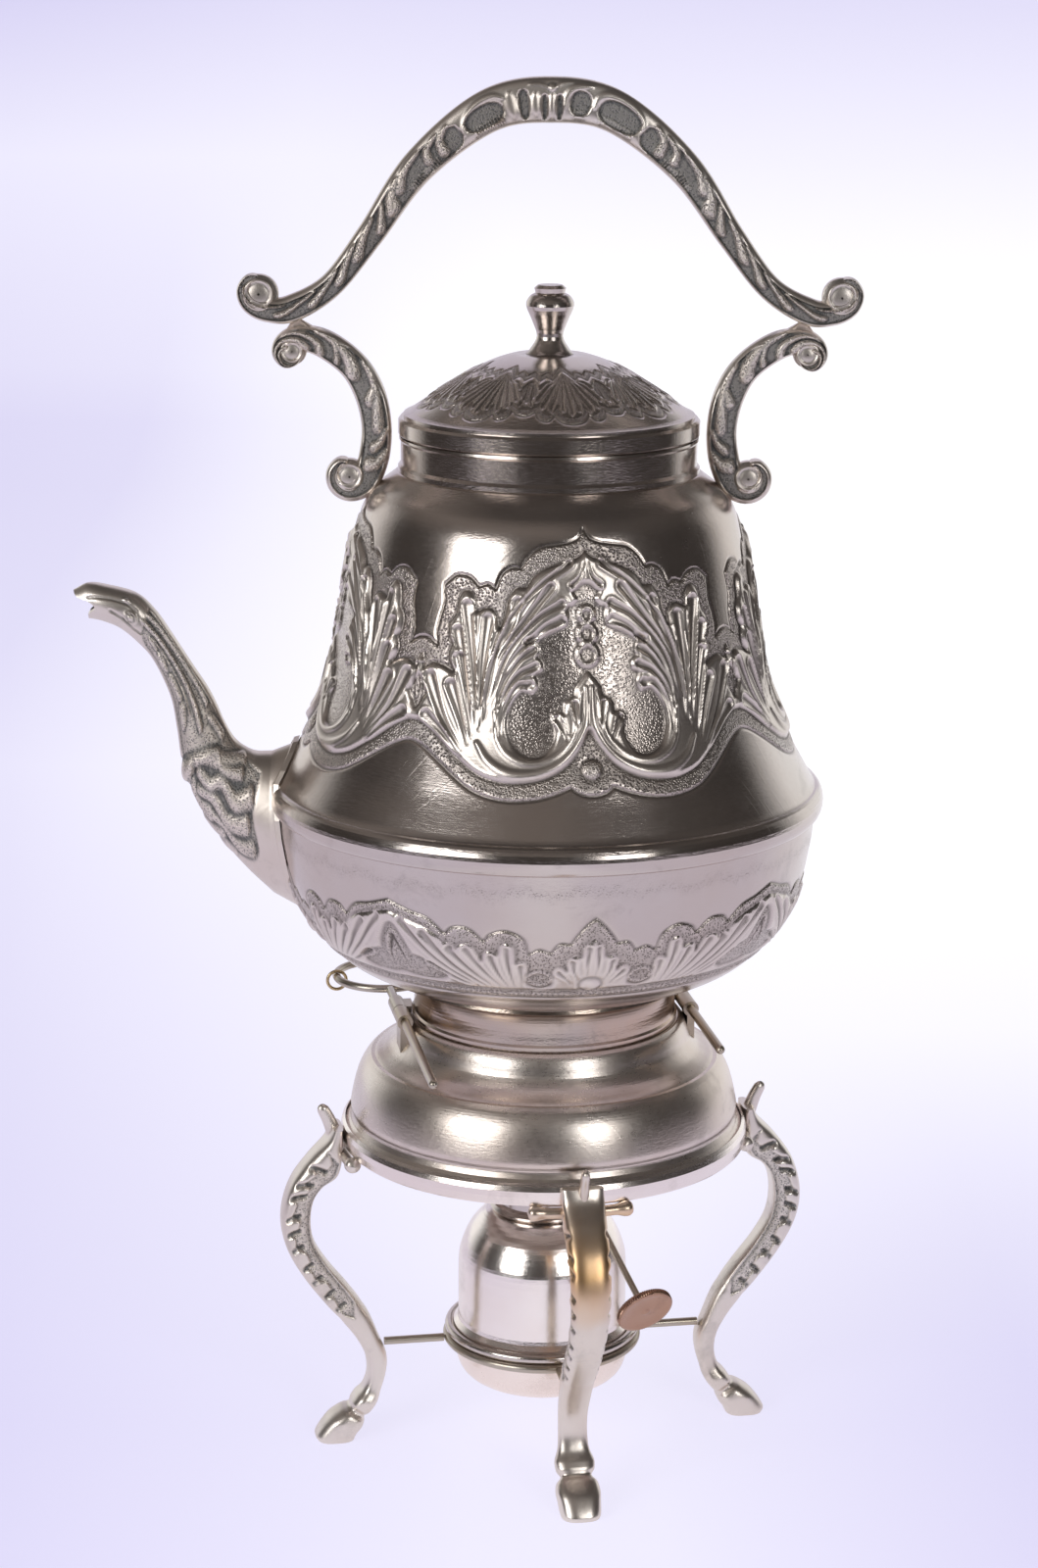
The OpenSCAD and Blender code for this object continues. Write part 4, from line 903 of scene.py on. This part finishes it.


# Single tones, then each metal's clean, warm and dark tone
# Painted highlight tone for raised chased relief.
PAINTED_RELIEF_HIGHLIGHT = (0.84, 0.77, 0.7, 1)
# Tone of the golden-brown band on the front leg.
GOLDEN_BROWN = (0.72, 0.44, 0.2, 1)
DARK = (0.1, 0.086, 0.075, 1)
SILVER = (0.62, 0.565, 0.53, 1), (0.56, 0.455, 0.38, 1), DARK
CAST = (0.8, 0.745, 0.69, 1), (0.64, 0.53, 0.44, 1), (0.12, 0.13, 0.135, 1)
NICKEL = (0.5, 0.46, 0.4, 1), (0.42, 0.32, 0.21, 1), DARK
COPPER = (0.42, 0.27, 0.21, 1), (0.5, 0.28, 0.17, 1), (0.14, 0.07, 0.045, 1)
BRASS = (0.6, 0.47, 0.28, 1), (0.48, 0.32, 0.15, 1), (0.16, 0.1, 0.05, 1)
STAND_SILVER = (0.76, 0.7, 0.65, 1), (0.64, 0.5, 0.41, 1), DARK
COPPERY = (0.5, 0.44, 0.39, 1), (0.6, 0.43, 0.32, 1), DARK
ROSY = (0.95, 0.85, 0.78, 1), (0.8, 0.62, 0.53, 1), (0.3, 0.2, 0.16, 1)
BRIGHT = (0.94, 0.88, 0.84, 1), (0.8, 0.66, 0.57, 1), (0.2, 0.15, 0.12, 1)
finishes = {
    "silver": plated("spun_silver", *SILVER, 0.17, tarnish=0.45),
    "cast_silver": plated("cast_silver", *CAST, 0.34, chased=True, spun=False, tarnish=0.5),
    "nickel": plated("nickel_wire", *NICKEL, 0.3, spun=False, tarnish=0.8),
    "copper": plated("worn_copper", *COPPER, 0.3, tarnish=0.7),
    "brass": plated("old_brass", *BRASS, 0.3, spun=False),
}
chased_silver = plated("chased_silver", *SILVER, 0.2, chased=True, tarnish=0.4)
stand_plate = plated("stand_plate", *STAND_SILVER, 0.29, tarnish=0.5)
golden_banded_cast = plated("golden_banded_cast", *CAST, 0.3, chased=True, spun=False, tarnish=0.5, golden_band=(0.061, 0.078))
coppery_plate = plated("coppery_plate", *COPPERY, 0.2, tarnish=0.8)
rosy_plate = plated("rosy_plate", *ROSY, 0.25)
bright_plate = plated("bright_plate", *BRIGHT, 0.2, tarnish=0.4)


def cotton():
    """The burner's woven wick."""
    paint = Paint("wick_cotton", Roughness=0.9)
    weave = paint.noise(1500, 1, 0.5, vector=round_place(paint, 0.01))
    paint.set(Base_Color=paint.mix(weave.step(0.3, 0.7), (0.62, 0.57, 0.46, 1), (0.85, 0.82, 0.72, 1)),
              Normal=paint.bump(weave, 0.0002))
    return paint.material


finishes["wick"] = cotton()
SLOTS = {part["node"]: part["material_slot"] for part in frame["record"]["subparts"]}
OWN_FINISH = {"burner_bowl": rosy_plate, "burner_shell": bright_plate, "rim_band": bright_plate,
              "foot_ring": coppery_plate, "stand_top": stand_plate}
for node_name, node_object in frame["nodes"].items():
    node_object.data.materials.clear()
    node_object.data.materials.append(OWN_FINISH.get(node_name, finishes[SLOTS[node_name]]))


# Kettle: chased upper body, bowl and lid

def spun_profile(marks, low=None, high=None):
    """A profile through the marks; two heights keep its points fine only where the chasing lies."""
    line = even_line(smooth_line(marks, 12), 0.3)
    return line if low is None else graded_line(line, low, high)


body_marks = [
    (70.5, SEAM + 4.3), (64.4, SEAM + 15.6), (58, SEAM + 30.8), (53.7, NECK - 33.4), (50.3, NECK - 15.9),
    (46.6, NECK - 6.4), (39.2, NECK),
]
body_line = np.vstack([[(BELLY_R, SEAM), (BELLY_R, SEAM + BEAD_H)], spun_profile(body_marks, 194, 262)])
spun_sheet("chased_upper_body", body_line, "upper_body", "kettle", chased_body(), columns=1200)

bowl_marks = [
    (38.5, FOOT), (47.7, FOOT + 2.9), (57.5, FOOT + 9.1), (66.6, FOOT + 22.4), (70.1, FOOT + 36.4),
    (BELLY_R, SEAM - BEAD_H),
]
bowl_floor = [(0.05, FOOT - 1.6), (36.1, FOOT - 0.9)]
bowl_line = np.vstack([bowl_floor, spun_profile(bowl_marks, 141, 170), [(BELLY_R, SEAM)]])
spun_sheet("chased_bowl", bowl_line, "bowl", "kettle", chased_bowl())

dome_marks = [
    (36.2, DOME + 1.5), (26, DOME + 8.1), (17, DOME + 13.45), (10.4, DOME + 15.9), (7, DOME_TOP),
    (1.55, DOME_TOP),
]
dome_line = np.vstack([[(DOME_R, DOME), (DOME_R, DOME + 0.9)], spun_profile(dome_marks)])
spun_sheet("chased_lid_dome", dome_line, "lid_dome", "lid", chased_lid(), 45, 760, "radius")


# Handle with its two brackets

# Half the arch: distance from the middle, height above the end scrolls, half width
half_marks = [
    (0, 49.5, 5.8), (16.1, 46.53, 5.4), (33.7, 32.67, 4.4), (46, 15.39, 3.5), (56, 2.62, 3.2),
    (65.9, -3.32, 3.5), (72.4, -3.9, 3.1), (76.7, -2.3, 2.5), (78.4, 1, 1.9), (77, 3.9, 1.4),
    (74.2, 4.3, 0.9),
]
arch_marks = np.vstack([np.array(half_marks)[:0:-1] * (-1, 1, 1), half_marks]) + (0, SCROLL_Z, 0)
arch_line = even_line(smooth_line(arch_marks, 24), 0.42)
arch_mid = lengths(arch_line[:, :2])[-1] / 2
arch = Cast()
arch.band(arch_line, 3.25, relief_of_arch(), lambda along: along - arch_mid)
for hand in (-1, 1):
    arch.scroll((hand * 74.5, SCROLL_Z + 0.3), 5, 3.35, -90, hand, 3.1)
arch.piece("cast_handle_arch", "handle_arch", "kettle", finishes["cast_silver"])

# A bracket from its foot's curl to its top's: distance from the middle, height, half width
bracket_marks = [
    (51.6, NECK + 1.6, 0.9), (54, NECK + 1.7, 1.3), (55.8, NECK - 1, 1.9), (54.8, NECK - 4.3, 2.5),
    (51.5, NECK - 5.7, 3), (47.7, NECK - 3.4, 3.6), (45.3, NECK + 3, 4), (44.6, NECK + 11, 3.9),
    (46.3, NECK + 19.4, 4), (50.5, SCROLL_Z - 18, 3.8), (57.7, SCROLL_Z - 12.6, 3.7),
    (64.3, SCROLL_Z - 10.9, 3.2), (68.3, SCROLL_Z - 12.2, 2.5), (69.5, SCROLL_Z - 15, 1.9),
    (67.8, SCROLL_Z - 17.4, 1.4), (65.2, SCROLL_Z - 16.8, 1), (64.6, SCROLL_Z - 15, 0.8),
]
bracket_line = even_line(smooth_line(bracket_marks, 16), 0.42)
lead = lengths(smooth_line(bracket_marks[:7], 16)[:, :2])[-1] - 7.5
bracket_leaves = relief_of_bracket()
tab_marks = np.array([(63.6, SCROLL_Z - 12.4, 4), (64.6, SCROLL_Z - 9, 4.2), (65.2, SCROLL_Z - 5.4, 3.6)])
clear_of_leaves = -40
for hand, word in ((-1, "left"), (1, "right")):
    bracket = Cast()
    bracket.band(bracket_line * (hand, 1, 1), 3.2, bracket_leaves, lambda along: along - lead, hand)
    bracket.scroll((hand * 51.6, NECK - 1.9), 4.5, 3.3, -100, hand, 2.8)
    bracket.scroll((hand * 66.1, SCROLL_Z - 14.2), 3.7, 3.3, 90, -hand, 2.3)
    bracket.band(tab_marks * (hand, 1, 1), 2.5, bracket_leaves, lambda along: along * 0 + clear_of_leaves)
    bracket.piece("cast_bracket_" + word, "bracket_" + word, "kettle", finishes["cast_silver"])


# Spout, with its beak

# Upper edge and lower edge as x and z, then half the width
spout_marks = [
    (-72.6, 191.8, -72.3, 153.1, 11.2), (-77.5, 192, -79.5, 160, 9.6), (-82, 194.8, -86, 167.7, 8.2),
    (-85, 199.7, -92.3, 177.3, 7), (-87.2, 205, -96.2, 187.7, 6.2), (-89.5, 209.5, -97.6, 197.7, 5.4),
    (-93.2, 215.2, -99.2, 206.7, 4.8), (-98, 222.8, -103.3, 216, 4.5), (-102.6, 229.6, -107.2, 220.8, 4.7),
    (-107.6, 234.2, -111.8, 224.7, 4.9), (-114.9, 236.3, -115.9, 226.5, 4.7), (-120, 236.9, -118.8, 227.2, 4),
    (-124, 235, -121, 227.4, 2.9),
]


def on_kettle_side(y, z, off):
    """A place on the kettle's outside, a little off it."""
    profile = np.vstack([bowl_line, body_line])
    return np.stack([-np.sqrt((np.interp(z, profile[:, 1], profile[:, 0]) + off) ** 2 - y**2), y, z], -1)


def spout_grid(thin, relief=None, columns=120):
    """The spout's outside, or its inside if thin is more than 0, from the kettle to the open beak."""
    table = smooth_line(spout_marks, 12)
    turn = np.linspace(0, 2 * math.pi, columns, endpoint=False)
    fold = np.abs((np.degrees(turn) + 180) % 360 - 180)
    corner = 1 - 0.11 * bell(fold - 104, 30) - 0.035 * ease((fold - 120) / 30)
    step = np.linspace(0, 1, 190)[:, None] * corner * (len(table) - 1)
    ux, uz, lx, lz, wide = (np.interp(step, np.arange(len(table)), column) for column in table.T)
    mx, mz, dx, dz = (ux + lx) / 2, (uz + lz) / 2, (ux - lx) / 2, (uz - lz) / 2
    tall = np.hypot(dx, dz)
    cos, sin = np.cos(turn), np.sin(turn)
    if relief is not None:
        middle = lengths(np.column_stack([(table[:, 0] + table[:, 2]) / 2, (table[:, 1] + table[:, 3]) / 2]))
        far = np.interp(step, np.arange(len(table)), middle) + 1.5
        around = np.broadcast_to(fold / 9, far.shape)
        high = relief.at(far, around, relief.high)
        hollow, stipple = (relief.at(far, around, values) for values in (relief.hollows(), relief.stipple))
    else:
        high = hollow = stipple = 0
    nx, ny = cos / tall, sin / wide
    push = (high - thin) / np.hypot(nx, ny)
    x = mx + dx * cos + push * nx * dx / tall
    z = mz + dz * cos + push * nx * dz / tall
    y = wide * sin + push * ny
    root = on_kettle_side((ROOT_W - thin) * sin, ROOT_Z + (ROOT_H - thin) * cos, 0 if thin else SPOUT_LIFT)
    points = np.stack([x, y, z], -1)
    lead = [root + (points[0] - root) * t for t in (0, 0.35, 0.7)]
    blank = np.zeros((3, columns))
    return (np.concatenate([np.array(lead), points]), np.vstack([blank, np.broadcast_to(hollow, x.shape)]),
            np.vstack([blank, np.broadcast_to(stipple, x.shape)]))


spout_skins = zip(spout_grid(0, relief_of_spout()), spout_grid(SPOUT_WALL))
spout = Cast()
spout.grid(*(np.concatenate([outside, inside[::-1]]) for outside, inside in spout_skins), wrap_rows=True)
spout.piece("cast_spout", "spout", "kettle", finishes["cast_silver"])


# Legs

# Outer edge and inner edge as distance from the axis and height, then the share of the leg's width
leg_marks = [
    (58, 90.6, 55.1, 90.6, 1), (59.8, 87.2, 55.1, 84, 1.04), (64.2, 82.6, 56.5, 77.2, 1.05),
    (68.8, 76.4, 60.6, 74.2, 1.03), (71.3, 69.8, 63.2, 70.2, 1), (71.9, 63, 64, 64, 0.97),
    (70.2, 55.8, 62.9, 57.9, 0.93), (66, 48, 59.2, 51.5, 0.89), (60.5, 40.4, 53.5, 44.2, 0.85),
    (55.2, 34, 48.6, 36.9, 0.8), (51.6, 29, 45.2, 28.8, 0.76), (49.2, 23.8, 43.4, 24, 0.72),
    (48.8, 18.4, 43.6, 18.9, 0.71), (50.6, 13.6, 45.6, 12.6, 0.78), (54, 10.2, 48.8, 6.6, 0.96),
    (60, 5.6, 51, 2.8, 1.03), (63, 1.6, 52, 1, 1), (62.6, 0, 52.4, 0, 0.95),
]
leg_leaf = relief_of_leg()


def leg_cast():
    """One leg, standing out along +X, with its two arms under the rim and its horn."""
    table = smooth_line(leg_marks, 14)
    middle = (table[:, :2] + table[:, 2:4]) / 2
    out = (table[:, :2] - table[:, 2:4]) / 2
    along = lengths(middle)
    swell = 0.16 * bell(along - 89, 2.2) - 0.22 * bell(along - 93.4, 1.1) + 0.06 * bell(along - 97.5, 2)
    swell = (swell - 0.03 * bell(along - 61, 1.2))[:, None]
    u, v = section(4, LEG_W, 112, 3.2)
    across, far = np.meshgrid(u * MAP_HALF, along)
    high = leg_leaf.at(far, across, leg_leaf.high)
    round_foot = 1 - 0.1 * ease((along - 60) / 20)[:, None] * np.abs(u) ** 4
    half = table[:, 4:] * LEG_W * (1 + swell) * round_foot
    side = v * half + np.sign(v) * np.abs(v) ** 0.7 * high
    grow = u * (1 + swell)
    points = np.stack([middle[:, :1] + out[:, :1] * grow, side, middle[:, 1:] + out[:, 1:] * grow], -1)
    points[..., 2] = np.maximum(points[..., 2], 0)
    leg = Cast()
    top, sole = (points[k] * 0 + points[k].mean(1, keepdims=True) for k in (slice(0, 1), slice(-1, None)))
    hollow, stipple = (np.pad(leg_leaf.at(far, across, values), ((1, 1), (0, 0)))
                       for values in (leg_leaf.hollows(), leg_leaf.stipple))
    leg.grid(np.concatenate([top, points, sole]), hollow, stipple)
    for hand in (-1, 1):
        a = np.radians(np.linspace(0, 14.6, 24)) * hand
        arm_r = RIM_R + 0.1
        arm = np.column_stack([arm_r * np.cos(a), arm_r * np.sin(a), np.full(24, LEG_H - 1.6)])
        leg.rod(arm, 1.5 + 0.7 * ease((np.abs(a) - 0.16) / 0.06), (1, 0.95))
    horn = smooth_line([(56.6, 0, 86), (57.6, 0, 89.4), (58.8, 0, 92.6), (60.2, 0, 95.4), (60.6, 0, 96.9)], 8)
    leg.rod(horn, np.linspace(2.1, 1.35, len(horn)), (0.75, 1.05))
    return leg


leg = leg_cast()
for toward, word in ((-90, "front"), (0, "right"), (90, "back"), (180, "left")):
    metal = golden_banded_cast if word == "front" else finishes["cast_silver"]
    leg.piece("cast_leg_" + word, "leg_" + word, "stand", metal, STAND_TURN + toward)


# Winder's knob: a dished disc with a milled edge and a pip

KNOB_AT = (26.861, -37.147, 49.491)
KNOB_AXIS = np.array((0.38236, -0.77705, -0.5))
KNOB_MIDDLE = 14.39
KNOB_TEETH = 72
# Radius, and place along the shaft
knob_profile = np.array([
    (0.02, 14.48), (0.92, 14.48), (0.92, 12.28), (1.85, 12.28), (1.9, 13.4), (2.1, 13.48), (7.2, 13.48),
    (7.62, 13.62), (7.8, 13.9), (7.8, 14.5), (7.8, 15.05), (7.62, 15.35), (7.2, 15.47), (6.5, 15.42),
    (6.2, 15.3), (4, 15.24), (1.5, 15.24), (1.2, 15.3), (1, 15.5), (0.6, 15.64), (0.02, 15.68),
])
knob_across = np.cross(KNOB_AXIS, (0, 0, 1))
knob_across /= np.sqrt(knob_across @ knob_across)
knob_turn = np.radians(np.arange(0, 360, 1.25))[None, :, None]
knob_round = np.cos(knob_turn) * knob_across + np.sin(knob_turn) * np.cross(KNOB_AXIS, knob_across)
knob_r, knob_out = (column[:, None, None] for column in knob_profile.T)
milled = knob_r - 0.11 * (1 + np.cos(KNOB_TEETH * knob_turn)) * (knob_r > 7.5)
knob = Cast()
knob.grid(KNOB_AT + (knob_out - KNOB_MIDDLE) * KNOB_AXIS + milled * knob_round, 0, 0)
knob.piece("milled_knob_disc", "knob_disc", "winder", finishes["copper"], sharp=50, slot="copper")


# Studio

LAMP_AIM = 0.18


def area_lamp(name, turn, rise, far, size, power):
    """A soft box; turn is from the camera's side towards the right, rise above level, in degrees."""
    lamp = bpy.data.lights.new(name, "AREA")
    lamp.shape = "RECTANGLE"
    lamp.size, lamp.size_y = size
    lamp.energy = power
    holder = bpy.data.objects.new(name, lamp)
    a, e = math.radians(turn), math.radians(rise)
    toward = np.array([math.sin(a) * math.cos(e), -math.cos(a) * math.cos(e), math.sin(e)])
    holder.location = toward * far + [0, 0, LAMP_AIM]
    look = holder.location.copy()
    look.z -= LAMP_AIM
    holder.rotation_euler = look.to_track_quat("Z", "Y").to_euler()
    bpy.context.collection.objects.link(holder)


def sweep():
    """A pale floor that curves up into the backdrop, glowing for camera and glossy rays, with painted shade
    up the backdrop, to the left and on the near floor.
    """
    bend, back, half = 0.8, 1.6, 0.95
    line = [(-0.78, 0), (-0.3, 0), (0.5, 0), (back, 0)]
    for a in np.linspace(0, math.pi / 2, 16)[1:]:
        line.append((back + bend * math.sin(a), bend - bend * math.cos(a)))
    line.append((back + bend, 3.5))
    points = [(x, y, z) for y, z in line for x in (-half, half)]
    faces = [(2 * i, 2 * i + 1, 2 * i + 3, 2 * i + 2) for i in range(len(line) - 1)]
    mesh = bpy.data.meshes.new("sweep")
    mesh.from_pydata(points, [], faces)
    mesh.polygons.foreach_set("use_smooth", np.ones(len(mesh.polygons), bool))
    piece = bpy.data.objects.new("sweep", mesh)
    bpy.context.collection.objects.link(piece)
    paint = Paint("sweep", Roughness=0.9, Specular_IOR_Level=0.1)
    x, y, z = paint.axes(paint.place())
    seen = paint.node("LightPath", {}, out="Is Camera Ray")
    shine = paint.node("LightPath", {}, out="Is Glossy Ray")
    paint.set(Base_Color=(0.7, 0.69, 0.82, 1))
    glow = paint.tree.nodes.new("ShaderNodeMixShader")
    lit = paint.tree.nodes.new("ShaderNodeEmission")
    lit.inputs["Strength"].default_value = 1.55
    # Painted shade: where shaded is high the glow turns from white to lilac, up the backdrop, to the left, on
    # the near floor and at its near right.
    left = 0 - x
    low_left = left.step(0.02, 0.3) * (1 - z.step(0.02, 0.2))
    near_right = x.step(0.03, 0.14) * (1 - y.step(0.05, 0.35))
    near = 1 - y.step(0.0, 0.75)
    shaded = (z.step(0.05, 0.33) * 0.8 + left.step(0.2, 0.5) * 0.2 + low_left * 0.75 + near * 0.6
              + near_right * 0.35)
    lilac = paint.mix(seen, (0.62, 0.575, 0.66, 1), (0.58, 0.55, 0.77, 1))
    paint.feed(lit.inputs["Color"], paint.mix(shaded.held(), (1, 1, 1, 1), lilac))
    # Painted light: camera and glossy rays see the sweep partly as a glow, other rays only the lit floor.
    paint.feed(glow.inputs[0], seen * 0.62 + shine * 0.57)
    end = paint.tree.nodes["Material Output"]
    paint.tree.links.new(paint.shader.outputs[0], glow.inputs[1])
    paint.tree.links.new(lit.outputs[0], glow.inputs[2])
    paint.tree.links.new(glow.outputs[0], end.inputs[0])
    piece.data.materials.append(paint.material)


def studio_world():
    """Pale behind and at the sides, dark in front and above as a dim room is, with plain fill light."""
    world = bpy.data.worlds.new("studio")
    bpy.context.scene.world = world
    world.use_nodes = True
    paint = Paint("studio", world.node_tree)
    x, y, z = paint.axes(paint.node("TexCoord", {}, out=0))
    back = (y.step(0.3, 0.65) * (1 - z.step(0.3, 0.55))).held()
    room = paint.mix(z.step(0.35, 0.68), (0.05, 0.044, 0.041, 1), (0.19, 0.168, 0.156, 1))
    room = paint.mix(z.step(0.75, 0.95), room, (0.07, 0.062, 0.058, 1))
    room = paint.mix((x.step(0.05, 0.45) * 0.75).held(), room, (0.04, 0.036, 0.034, 1))
    room = paint.mix(back, room, (1, 1, 1, 1))
    shine = paint.node("LightPath", {}, out="Is Glossy Ray")
    seen = paint.node("LightPath", {}, out="Is Camera Ray")
    tone = paint.mix(shine, (0.5, 0.49, 0.52, 1), room)
    tone = paint.mix(seen, tone, (0.9, 0.89, 0.97, 1))
    paint.feed(world.node_tree.nodes["Background"].inputs["Color"], tone)


def camera():
    """The photograph's own camera, solved from the kettle's rings and the toes."""
    eye = bpy.data.objects.new("camera", bpy.data.cameras.new("camera"))
    eye.data.sensor_width = 36
    eye.data.lens = 78.75
    eye.data.clip_start = 0.05
    pitch = Matrix.Rotation(math.radians(75.74), 4, "X")
    roll = Matrix.Rotation(math.radians(0.37), 4, "Z")
    eye.matrix_world = Matrix.Translation((-0.0072, -0.8821, 0.4074)) @ pitch @ roll
    bpy.context.collection.objects.link(eye)
    bpy.context.scene.camera = eye


sweep()
studio_world()
area_lamp("left_box", -43, 16, 1.4, (0.74, 0.66), 6.4)
area_lamp("right_box", 31, 16, 1.4, (0.42, 0.6), 3.3)
camera()
bpy.context.scene.view_settings.view_transform = "Standard"
